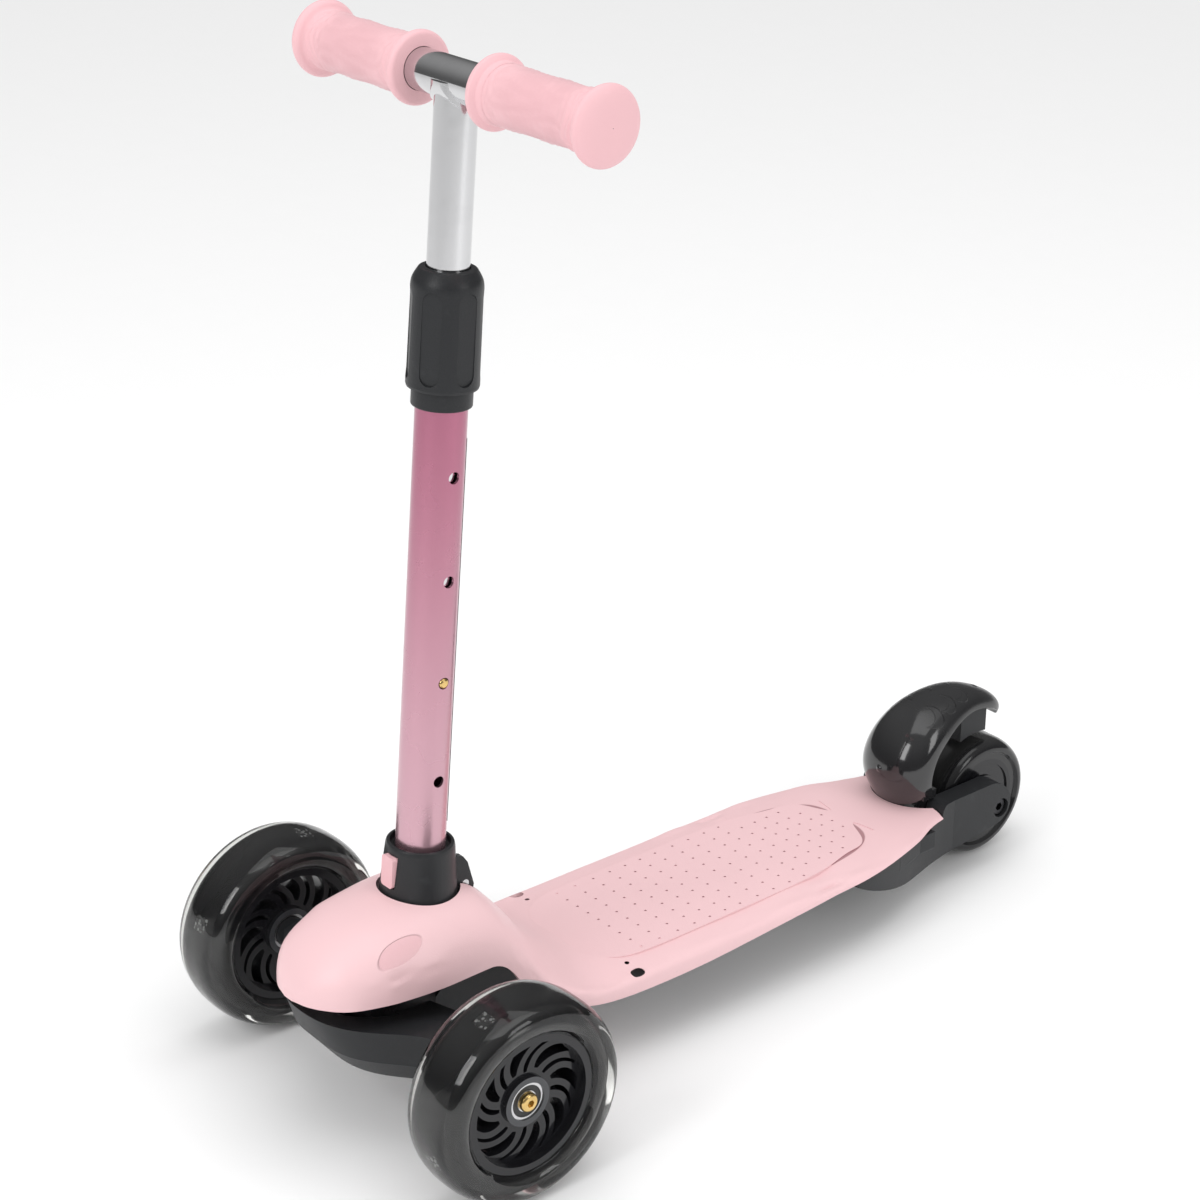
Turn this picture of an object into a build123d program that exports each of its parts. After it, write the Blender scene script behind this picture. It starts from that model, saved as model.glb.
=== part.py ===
import os
from math import cos, radians, sin, sqrt

from build123d import *

os.makedirs("parts", exist_ok=True)

# ---------------------------------------------------------------- driving sizes
# Millimetres. +Z is up, -Y is the way it rolls, +X is the rider's left.
# The origin is on the ground, half-way along the scooter.
# Heights and distances along the length are measured from the front axle line.
FRONT_R = 60.0  # front wheel radius
REAR_R = 40.0  # rear wheel radius
FRONT_HALF_W = 20.6  # half the width of a front tyre
REAR_HALF_W = 18.5  # half the width of the rear tyre
HALF_TRACK = 111.4  # middle plane to the middle of a front wheel
WHEELBASE = 459.1
NOSE = 67.0  # front axle to the tip of the nose
FRONT_AXLE_Y = -(WHEELBASE + REAR_R - NOSE) / 2

LEAN = 4.7  # the handlebar stem leans back by this many degrees
STEM_Y = 20.0  # where the stem's axis meets the foot plane
STEM_Z = 115.0  # height of the foot plane
BAR_AT = 457.5  # foot plane to the crossbar, along the stem
BAR_R = 11.0
INNER_R = 11.25  # chromed height tube
INNER_WALL = 1.2
OUTER_R = 13.9  # coloured stem tube
OUTER_WALL = 1.5
HOLE_AT = (81.0, 138.6, 196.2, 253.8)  # height holes, along the stem
HOLE_R = 3.3
HOLE_USED = HOLE_AT[1]

DECK_TOP = 57.0
DECK_HALF_W = 60.8
SKIN = 3.0  # wall of the deck moulding
NOSE_RIM = 90.0  # height of the open rim under the nose

KING_Y, KING_Z = 2.0, 62.0  # middle of the steering pivot
KING_TILT = 45.0  # the pivot leans forward at its top
KING_HUB_R = 19.0
KING_HUB_L = 28.0

FOLD_Y, FOLD_Z = 46.0, 124.0  # hinge pin behind the stem foot
FOLD_PIN_R = 2.5
BRAKE_Y, BRAKE_Z = 402.0, 48.0  # pivot of the rear brake
BRAKE_PIN_R = 2.5
SPRING_HALF = 10.5  # half the length of the brake spring

# Fits, radial or face to face
RUN = 0.05  # a shaft that turns or slides in its hole
FACE = 0.2  # faces that pass each other
LOOSE = 0.5  # parts that stay clear of each other


# ---------------------------------------------------------------- datum planes
def side(x=0.0):
    """Plane looking along X: its own x is distance behind the front axle, its y is height."""
    return Plane(origin=(x, FRONT_AXLE_Y, 0), x_dir=(0, 1, 0), z_dir=(1, 0, 0))


def plan(z=0.0):
    """Level plane at a height, measured from the front axle line."""
    return Plane(origin=(0, FRONT_AXLE_Y, z), x_dir=(1, 0, 0), z_dir=(0, 0, 1))


def front(y):
    """Upright plane across the scooter, at a distance behind the front axle."""
    return Plane(origin=(0, FRONT_AXLE_Y + y, 0), x_dir=(1, 0, 0), z_dir=(0, -1, 0))


def stem(s, x=0.0):
    """Plane square to the stem, at a distance above its foot; its own y points back."""
    tilt = radians(LEAN)
    at = (x, FRONT_AXLE_Y + STEM_Y + s * sin(tilt), STEM_Z + s * cos(tilt))
    return Plane(origin=at, x_dir=(1, 0, 0), z_dir=(0, sin(tilt), cos(tilt)))


def profile():
    """Plane through the stem's axis: its own x is distance out from the axis, its y is along it."""
    tilt = radians(LEAN)
    return Plane(origin=stem(0).origin, x_dir=(1, 0, 0), z_dir=(0, -cos(tilt), sin(tilt)))


def bore(s, x=0.0):
    """Plane square to X where the stem's axis is at distance s, facing the rider's left."""
    at = stem(s).origin
    return Plane(origin=(at.X + x, at.Y, at.Z), x_dir=(0, 1, 0), z_dir=(1, 0, 0))


def king(u):
    """Plane square to the steering pivot, at a distance above its middle; its own y points back."""
    tilt = radians(KING_TILT)
    at = (0, FRONT_AXLE_Y + KING_Y - u * sin(tilt), KING_Z + u * cos(tilt))
    return Plane(origin=at, x_dir=(1, 0, 0), z_dir=(0, -sin(tilt), cos(tilt)))


def across(x, y, z, toward=1):
    """Plane square to X through a point behind the front axle, facing outward on either side."""
    return Plane(origin=(x, FRONT_AXLE_Y + y, z), x_dir=(0, toward, 0), z_dir=(toward, 0, 0))


# ---------------------------------------------------------------- front wheels
HUB_HALF = 11.2  # half the distance over the two bearings
BEARING_R = 11.0
BEARING_W = 7.0
AXLE_R = 4.0
CORE_IN = 36.5  # inside of the wheel's black band
CORE_R = 52.5  # outside of the black band, under the clear tread
CORE_HALF = 15.5
LIP_R = 41.0  # where the clear tread ends on the wheel's side
BOSS_R = 14.5
SPOKES = 8
WEB_HALF = 9.5  # half the thickness of the spoke web
SCREW_R = 2.5
SCREW_HEAD_R = 5.5
SCREW_HEAD_H = 3.2
ARM_END = HALF_TRACK - HUB_HALF  # end of the axle stub on the front beam
STUB_R = 9.0


def swirl(r, start, half_w):
    """Point of a spoke opening at radius r: the openings trail back as they near the rim.

    The angle falls with the square of the distance from the boss; half_w is to one side."""
    lag = 34.0 * ((r - BOSS_R) / (CORE_IN - BOSS_R)) ** 2
    a = radians(start - lag) + half_w / r
    return (r * cos(a), r * sin(a))


def opening(start, widths):
    """Closed outline of one opening; widths lists (radius, half width) from boss to rim."""
    ahead = [swirl(r, start, w) for r, w in widths]
    behind = [swirl(r, start, -w) for r, w in reversed(widths)]
    with BuildLine() as edge:
        Spline(*ahead)
        Line(ahead[-1], behind[0])
        Spline(*behind)
        Line(behind[-1], ahead[0])
    return edge.line


narrow = ((17.0, 1.0), (20.0, 1.5), (26.0, 1.6), (32.0, 1.6), (35.0, 1.2))
wide = ((18.5, 1.2), (22.0, 2.6), (27.0, 4.2), (32.0, 5.0), (35.2, 4.2))

for hand, sgn in (("left", 1), ("right", -1)):
    mid = across(sgn * HALF_TRACK, 0, FRONT_R, sgn)

    # Black core: a band for the tread, a thin web cut into curved spokes and a boss for the bearings.
    with BuildPart() as core:
        with BuildSketch(mid.offset(-CORE_HALF)):
            Circle(CORE_R)
            Circle(CORE_IN, mode=Mode.SUBTRACT)
        extrude(amount=2 * CORE_HALF)
        fillet(core.edges().filter_by(GeomType.CIRCLE).group_by(SortBy.RADIUS)[-1], 6.0)
        with BuildSketch(mid.offset(-WEB_HALF)):
            Circle(CORE_IN + 1)
        extrude(amount=2 * WEB_HALF)
        with BuildSketch(mid.offset(-HUB_HALF - 0.8)):
            Circle(BOSS_R)
        extrude(amount=2 * HUB_HALF + 1.6)
        with BuildSketch(mid.offset(-CORE_HALF)):
            for k in range(SPOKES):
                turn = k * 360 / SPOKES
                make_face(opening(turn, narrow))
                make_face(opening(turn - 180 / SPOKES, wide))
        extrude(amount=2 * CORE_HALF, mode=Mode.SUBTRACT)
        with BuildSketch(mid.offset(-HUB_HALF - 2)):
            Circle(BEARING_R - 1.5)
        extrude(amount=2 * HUB_HALF + 4, mode=Mode.SUBTRACT)
        for start in (-HUB_HALF - 1, HUB_HALF - BEARING_W):
            with BuildSketch(mid.offset(start)):
                Circle(BEARING_R)
            extrude(amount=BEARING_W + 1, mode=Mode.SUBTRACT)
        # Pockets for the light modules
        with BuildSketch(mid.offset(-5)):
            with PolarLocations(CORE_R - 1.5, 4, start_angle=20):
                Rectangle(6, 9)
        extrude(amount=10, mode=Mode.SUBTRACT)
    core.part.label = f"wheel_core_{hand}"
    export_step(core.part, f"parts/wheel_core_{hand}.step")

    # Clear tread cast round the core.
    with BuildPart() as tread:
        with BuildSketch(Plane(origin=mid.origin, x_dir=(sgn, 0, 0), z_dir=(0, -sgn, 0))):
            with BuildLine():
                Spline(
                    (-CORE_HALF - 0.6, LIP_R),
                    (-FRONT_HALF_W + 0.6, LIP_R + 6),
                    (-FRONT_HALF_W, LIP_R + 9.5),
                    (-FRONT_HALF_W + 6.5, FRONT_R - 1.8),
                    (0, FRONT_R),
                    (FRONT_HALF_W - 6.5, FRONT_R - 1.8),
                    (FRONT_HALF_W, LIP_R + 9.5),
                    (FRONT_HALF_W - 0.6, LIP_R + 6),
                    (CORE_HALF + 0.6, LIP_R),
                )
                Line((CORE_HALF + 0.6, LIP_R), (-CORE_HALF - 0.6, LIP_R))
            make_face()
        revolve(axis=Axis((sgn * HALF_TRACK, FRONT_AXLE_Y, FRONT_R), (1, 0, 0)))
        with BuildSketch(mid.offset(-CORE_HALF)):
            Circle(CORE_R)
        extrude(amount=2 * CORE_HALF, mode=Mode.SUBTRACT)
    tread.part.label = f"tyre_{hand}"
    export_step(tread.part, f"parts/tyre_{hand}.step")

    # Light modules seated in the core under the tread.
    with BuildPart() as lights:
        with BuildSketch(mid.offset(-4.5)):
            with PolarLocations(CORE_R - 2.4, 4, start_angle=20):
                Rectangle(3.8, 8)
        extrude(amount=9)
    lights.part.label = f"wheel_lights_{hand}"
    export_step(lights.part, f"parts/wheel_lights_{hand}.step")

    for place, start in (("outer", HUB_HALF - BEARING_W), ("inner", -HUB_HALF)):
        # Shielded ball bearing, shown as its rings and shields in one.
        with BuildPart() as bearing:
            with BuildSketch(mid.offset(start)):
                Circle(BEARING_R)
                Circle(AXLE_R + RUN, mode=Mode.SUBTRACT)
            extrude(amount=BEARING_W)
            with BuildSketch(mid.offset(start)):
                Circle(BEARING_R - 1.6)
                Circle(AXLE_R + 2.1, mode=Mode.SUBTRACT)
            extrude(amount=0.5, mode=Mode.SUBTRACT)
            with BuildSketch(mid.offset(start + BEARING_W - 0.5)):
                Circle(BEARING_R - 1.6)
                Circle(AXLE_R + 2.1, mode=Mode.SUBTRACT)
            extrude(amount=0.5, mode=Mode.SUBTRACT)
        bearing.part.label = f"bearing_{place}_{hand}"
        export_step(bearing.part, f"parts/bearing_{place}_{hand}.step")

    # Spacer tube between the bearings; its ring of magnets lights the modules as the wheel turns.
    with BuildPart() as spacer:
        gap = HUB_HALF - BEARING_W - FACE
        with BuildSketch(mid.offset(-gap)):
            Circle(AXLE_R + 1.8)
            Circle(AXLE_R, mode=Mode.SUBTRACT)
        extrude(amount=2 * gap)
        with BuildSketch(mid.offset(-gap + 1)):
            Circle(BEARING_R - 1.5 - LOOSE)
            Circle(AXLE_R, mode=Mode.SUBTRACT)
        extrude(amount=2 * gap - 2)
    spacer.part.label = f"magnet_spacer_{hand}"
    export_step(spacer.part, f"parts/magnet_spacer_{hand}.step")

    # Steel axle sleeve moulded into the end of the front beam, with a thread for the wheel screw.
    with BuildPart() as sleeve:
        length = 2 * HUB_HALF + 26
        with BuildSketch(mid.offset(HUB_HALF - length)):
            Circle(AXLE_R)
            Circle(SCREW_R, mode=Mode.SUBTRACT)
        extrude(amount=length)
    sleeve.part.label = f"axle_sleeve_{hand}"
    export_step(sleeve.part, f"parts/axle_sleeve_{hand}.step")

    # Button-head wheel screw with a hexagon socket.
    with BuildPart() as screw:
        with BuildSketch(mid.offset(HUB_HALF + FACE)):
            Circle(SCREW_HEAD_R)
        extrude(amount=SCREW_HEAD_H)
        fillet(screw.faces().sort_by(Axis.X)[-1 if sgn > 0 else 0].edges(), 2.0)
        with BuildSketch(mid.offset(HUB_HALF + FACE + SCREW_HEAD_H - 1.8)):
            RegularPolygon(2.3, 6)
        extrude(amount=4, mode=Mode.SUBTRACT)
        with BuildSketch(mid.offset(HUB_HALF - 18)):
            Circle(SCREW_R)
        extrude(amount=18 + FACE)
    screw.part.label = f"wheel_screw_{hand}"
    export_step(screw.part, f"parts/wheel_screw_{hand}.step")


# ---------------------------------------------------------------- rear wheel
REAR_CORE_R = 27.0
ARM_IN = REAR_HALF_W + 2.4  # inner face of a fork arm
ARM_OUT = 34.0
REAR_SHAFT_R = 4.0
REAR_HUB_HALF = ARM_IN - 1.2
rear_mid = across(0, WHEELBASE, REAR_R, 1)

with BuildPart() as rear_tyre:
    with BuildSketch(Plane(origin=rear_mid.origin, x_dir=(1, 0, 0), z_dir=(0, -1, 0))):
        with BuildLine():
            Polyline((-16.5, REAR_CORE_R), (-16.5, 31.0), (-REAR_HALF_W, 32.5))
            Spline(
                (-REAR_HALF_W, 32.5), (-17.2, 36.6), (-12.5, 39.2), (0, REAR_R),
                (12.5, 39.2), (17.2, 36.6), (REAR_HALF_W, 32.5),
            )
            Polyline((REAR_HALF_W, 32.5), (16.5, 31.0), (16.5, REAR_CORE_R), (-16.5, REAR_CORE_R))
        make_face()
    revolve(axis=Axis((0, FRONT_AXLE_Y + WHEELBASE, REAR_R), (1, 0, 0)))
rear_tyre.part.label = "tyre_rear"
export_step(rear_tyre.part, "parts/tyre_rear.step")

with BuildPart() as rear_core:
    with BuildSketch(rear_mid.offset(-16.5)):
        Circle(REAR_CORE_R)
    extrude(amount=33)
    for start in (-16.5, 15.3):
        with BuildSketch(rear_mid.offset(start)):
            Circle(24.0)
            Circle(15.5, mode=Mode.SUBTRACT)
        extrude(amount=1.2, mode=Mode.SUBTRACT)
    with BuildSketch(rear_mid.offset(-REAR_HUB_HALF)):
        Circle(BEARING_R + 2.2)
    extrude(amount=2 * REAR_HUB_HALF)
    with BuildSketch(rear_mid.offset(-REAR_HUB_HALF)):
        Circle(BEARING_R - 1.5)
    extrude(amount=2 * REAR_HUB_HALF, mode=Mode.SUBTRACT)
    for start in (-REAR_HUB_HALF, REAR_HUB_HALF - BEARING_W):
        with BuildSketch(rear_mid.offset(start)):
            Circle(BEARING_R)
        extrude(amount=BEARING_W, mode=Mode.SUBTRACT)
rear_core.part.label = "wheel_core_rear"
export_step(rear_core.part, "parts/wheel_core_rear.step")

for hand, sgn in (("left", 1), ("right", -1)):
    with BuildPart() as rear_bearing:
        with BuildSketch(across(0, WHEELBASE, REAR_R, sgn).offset(REAR_HUB_HALF - BEARING_W)):
            Circle(BEARING_R)
            Circle(REAR_SHAFT_R + RUN, mode=Mode.SUBTRACT)
        extrude(amount=BEARING_W)
    rear_bearing.part.label = f"bearing_rear_{hand}"
    export_step(rear_bearing.part, f"parts/bearing_rear_{hand}.step")

with BuildPart() as rear_spacer:
    half = REAR_HUB_HALF - BEARING_W - FACE
    with BuildSketch(rear_mid.offset(-half)):
        Circle(REAR_SHAFT_R + 1.8)
        Circle(REAR_SHAFT_R, mode=Mode.SUBTRACT)
    extrude(amount=2 * half)
rear_spacer.part.label = "rear_spacer"
export_step(rear_spacer.part, "parts/rear_spacer.step")

HEAD_SEAT = 28.0  # floor of the counterbores in the fork arms
with BuildPart() as rear_bolt:
    with BuildSketch(rear_mid.offset(-HEAD_SEAT)):
        Circle(REAR_SHAFT_R)
    extrude(amount=2 * HEAD_SEAT)
    with BuildSketch(rear_mid.offset(HEAD_SEAT)):
        Circle(6.0)
    extrude(amount=4.0)
    fillet(rear_bolt.faces().sort_by(Axis.X)[-1].edges(), 1.0)
    with BuildSketch(rear_mid.offset(HEAD_SEAT + 1.4)):
        RegularPolygon(2.9, 6)
    extrude(amount=4, mode=Mode.SUBTRACT)
rear_bolt.part.label = "rear_axle_bolt"
export_step(rear_bolt.part, "parts/rear_axle_bolt.step")

# Sleeve nut that closes the rear axle from the other side.
with BuildPart() as rear_nut:
    with BuildSketch(rear_mid.offset(-HEAD_SEAT - 4.0)):
        Circle(6.0)
    extrude(amount=4.0)
    fillet(rear_nut.faces().sort_by(Axis.X)[0].edges(), 1.0)
    with BuildSketch(rear_mid.offset(-HEAD_SEAT - 4.0)):
        RegularPolygon(2.9, 6)
    extrude(amount=2.6, mode=Mode.SUBTRACT)
rear_nut.part.label = "rear_axle_nut"
export_step(rear_nut.part, "parts/rear_axle_nut.step")


# ---------------------------------------------------------------- deck moulding
# Each station across the hull: distance behind the front axle, half width, height of the
# side's foot, height of the shoulder, height of the crest, and two shape powers of the arch.
STATIONS = (
    (-66.8, 3.5, 87, 93, 92.2, 2.3, 0.435),
    (-65, 10.5, 86, 93, 97.5, 2.3, 0.435),
    (-61, 19.5, 86, 93, 105.5, 2.3, 0.435),
    (-53, 29.5, 86, 93, 114, 2.3, 0.435),
    (-43, 35.8, 86, 93, 120.5, 2.3, 0.435),
    (-30, 40.3, 86, 93, 125.5, 2.3, 0.435),
    (-12, 43.6, 86, 93, 129, 2.3, 0.435),
    (10, 45.2, 86, 93, 131, 2.3, 0.435),
    (30, 44.8, 86, 92.5, 130, 2.3, 0.435),
    (42, 45.0, 80, 90.5, 127, 2.3, 0.46),
    (52, 46.3, 66, 86.0, 120, 2.25, 0.52),
    (60, 48.3, 55, 80.5, 111.5, 2.2, 0.65),
    (70, 51.5, 45, 72.5, 99.5, 2.1, 0.95),
    (80, 55.0, 41, 65.0, 86.5, 2.0, 1.4),
    (92, 58.5, 40, 59.0, 72.5, 2.0, 1.8),
    (105, 60.3, 40, 55.0, 62.5, 2.2, 1.8),
    (120, DECK_HALF_W, 40, 53.9, 58.4, 3.0, 1.4),
    (140, DECK_HALF_W, 40, 53.5, 57.2, 4.5, 1.0),
    (165, DECK_HALF_W, 40, 53.4, DECK_TOP, 5.0, 1.0),
    (200, DECK_HALF_W, 40, 53.4, DECK_TOP, 5.0, 1.0),
    (235, DECK_HALF_W, 40, 53.4, DECK_TOP, 5.0, 1.0),
    (270, DECK_HALF_W, 40, 53.4, DECK_TOP, 5.0, 1.0),
    (300, 60.6, 40, 53.6, DECK_TOP, 4.0, 1.0),
    (325, 59.2, 40, 53.6, DECK_TOP, 4.0, 1.0),
    (350, 54.6, 40, 53.6, DECK_TOP, 4.0, 1.0),
    (375, 47.0, 40, 53.6, DECK_TOP, 4.0, 1.0),
    (395, 39.2, 40, 53.6, DECK_TOP, 4.0, 1.0),
    (414, 31.5, 40, 53.6, DECK_TOP, 4.0, 1.0),
)
EDGE_R = 3.0  # rounding of the shoulder


def hull_points(half_w, foot, shoulder, crest, n, p, inset):
    """Points of one station, up one side, over the crest and down the other side.

    height = shoulder + (crest - shoulder) * (1 - u**n)**p, less the rounding at the shoulder."""
    half_w, crest, shoulder = half_w - inset, crest - inset, shoulder - inset
    shrink = min(1.0, half_w / 20.0)
    edge = EDGE_R * shrink
    steps = [half_w - d * shrink for d in (0, 0.35, 1.3, 3.0, 6.0)]
    steps += [(half_w - 6.0 * shrink) * f for f in (0.86, 0.71, 0.55, 0.38, 0.2)]
    rise = crest - shoulder
    flank = []
    for x in steps:
        into = max(0.0, x - (half_w - edge)) / edge
        drop = edge * (1 - sqrt(max(0.0, 1 - into * into)))
        flank.append((x, shoulder + rise * max(0.0, 1 - (x / half_w) ** n) ** p - drop))
    low = [(half_w, foot), (half_w, (foot + shoulder - edge) / 2)]
    right = low + flank
    left = [(-x, z) for x, z in reversed(right)]
    return right + [(0, crest)] + left


# Underside of the moulding, seen from the side: level under the nose, up round the
# front wheels' well, down to the deck's side edge and rising slowly to the tail.
UNDER = (
    (38.0, NOSE_RIM), (46.0, 87.0), (52.5, 80.0), (57.5, 71.5), (65.0, 62.5),
    (77.0, 54.8), (93.0, 49.5), (120.0, 45.5), (150.0, 44.0), (190.0, 44.6),
    (250.0, 48.6), (305.0, 51.6), (420.0, 52.0),
)
SEAT_R = 19.5  # pad of the under-frame that the stem stands on
COLLAR_HOLE_R = 23.3
SLOT_HALF = 11.2  # slot in the crest for the fold hinge
PAD = (
    (0, 118), (24, 119), (38, 130), (43.5, 152), (44.0, 200), (43.2, 270),
    (40.0, 300), (35.0, 322), (26.0, 340), (13.0, 350), (0, 352.5),
)
PAD_ROWS = (150, 164, 178, 191, 203, 215, 227, 241, 254, 267, 279, 290, 301, 311, 321, 331, 340)
PAD_PITCH = 9.7
PAD_STEP = 0.4  # the standing pad is this much proud of the deck
DECK_SCREWS = ((30, 182), (-30, 182), (30, 229.5), (-30, 229.5), (32, 320), (-32, 320))
TAIL_Y = 416.0  # centre of the hollow in the deck's rear edge
TAIL_R = 30.5

with BuildPart() as deck_board:
    for row in STATIONS:
        with BuildSketch(front(row[0])):
            with BuildLine():
                pts = hull_points(*row[1:], 0.0)
                Spline(*pts)
                Line(pts[-1], pts[0])
            make_face()
    loft()
    # Hollow of the nose
    for row in STATIONS[2:18]:
        with BuildSketch(front(row[0])):
            with BuildLine():
                pts = hull_points(*row[1:], SKIN)
                pts = [(pts[0][0], 20.0)] + pts[1:-1] + [(pts[-1][0], 20.0)]
                Spline(*pts)
                Line(pts[-1], pts[0])
            make_face()
    loft(mode=Mode.SUBTRACT)
    # Hollow of the standing plate
    with BuildSketch(plan(20)):
        with BuildLine():
            right = [(row[1] - SKIN, row[0]) for row in STATIONS[17:]]
            left = [(-x, y) for x, y in reversed(right)]
            Polyline(*right, *left, close=True)
        make_face()
    extrude(amount=DECK_TOP - 5.0 - 20, mode=Mode.SUBTRACT)
    # Underside trimmed to its side view
    with BuildSketch(side(-100)):
        with BuildLine():
            Spline(*UNDER)
            Polyline(UNDER[-1], (430, 10), (-80, 10), (-80, NOSE_RIM), UNDER[0])
        make_face()
    extrude(amount=200, mode=Mode.SUBTRACT)
    # Flat standing pad with its dimples
    with BuildSketch(plan(DECK_TOP - 4)):
        with BuildLine():
            Spline(*PAD, tangents=((1, 0), (-1, 0)))
            Line(PAD[-1], PAD[0])
        make_face()
        mirror(about=Plane.YZ)
    extrude(amount=4 + PAD_STEP)
    with BuildSketch(plan(DECK_TOP + PAD_STEP)):
        with BuildLine():
            Spline(*PAD, tangents=((1, 0), (-1, 0)))
            Line(PAD[-1], PAD[0])
        make_face()
        mirror(about=Plane.YZ)
    extrude(amount=5, mode=Mode.SUBTRACT)
    with BuildSketch(plan(DECK_TOP + PAD_STEP)):
        for y in PAD_ROWS:
            reach = 40.0 if y < 270 else 40.0 * sqrt(1 - ((y - 270) / 80) ** 2)
            columns = int(reach / PAD_PITCH)
            with Locations(*[(k * PAD_PITCH, y) for k in range(-columns, columns + 1)]):
                Circle(0.8)
    extrude(amount=-PAD_STEP, mode=Mode.SUBTRACT)
    # Hole for the stem's foot and slot for its hinge
    with BuildSketch(stem(-3)):
        Circle(COLLAR_HOLE_R)
    extrude(amount=40, mode=Mode.SUBTRACT)
    with BuildSketch(plan(98)):
        with Locations((0, STEM_Y + 19)):
            Rectangle(2 * SLOT_HALF, 38)
    extrude(amount=50, mode=Mode.SUBTRACT)
    # Rounded hollow of the rear edge
    with BuildSketch(plan(30)):
        with Locations((0, TAIL_Y)):
            Circle(TAIL_R)
        with Locations((0, TAIL_Y + 10)):
            Rectangle(90, 48)
    extrude(amount=40, mode=Mode.SUBTRACT)
    # Pilot holes for the deck screws
    with BuildSketch(plan(40)):
        with Locations(*DECK_SCREWS):
            Circle(2.02)
    extrude(amount=14.6, mode=Mode.SUBTRACT)
deck_board.part.label = "deck_board"
export_step(deck_board.part, "parts/deck_board.step")

with BuildPart() as deck_screws:
    with BuildSketch(plan(38.5)):
        with Locations(*DECK_SCREWS):
            Circle(4.0)
    extrude(amount=2.5)
    with BuildSketch(plan(41)):
        with Locations(*DECK_SCREWS):
            Circle(2.0)
    extrude(amount=13)
deck_screws.part.label = "deck_screws"
export_step(deck_screws.part, "parts/deck_screws.step")


# ---------------------------------------------------------------- under-frame
FRAME_TOP = DECK_TOP - 5.0 - 0.1  # just under the deck's standing plate
NECK_HALF = 13.0
LUG = 6.0  # thickness of the two pivot lugs
LUG_AT = KING_HUB_L / 2 + 0.3
KING_BOLT_R = 5.0
FIN_HALF = 5.0
TAIL_FORK_Y = 388.0
KEEL_HALF = 37.0  # half the width of the deeper middle of the plate
EDGE_COVER = 0.6  # the deck's side edge hides the plate by this much

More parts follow.
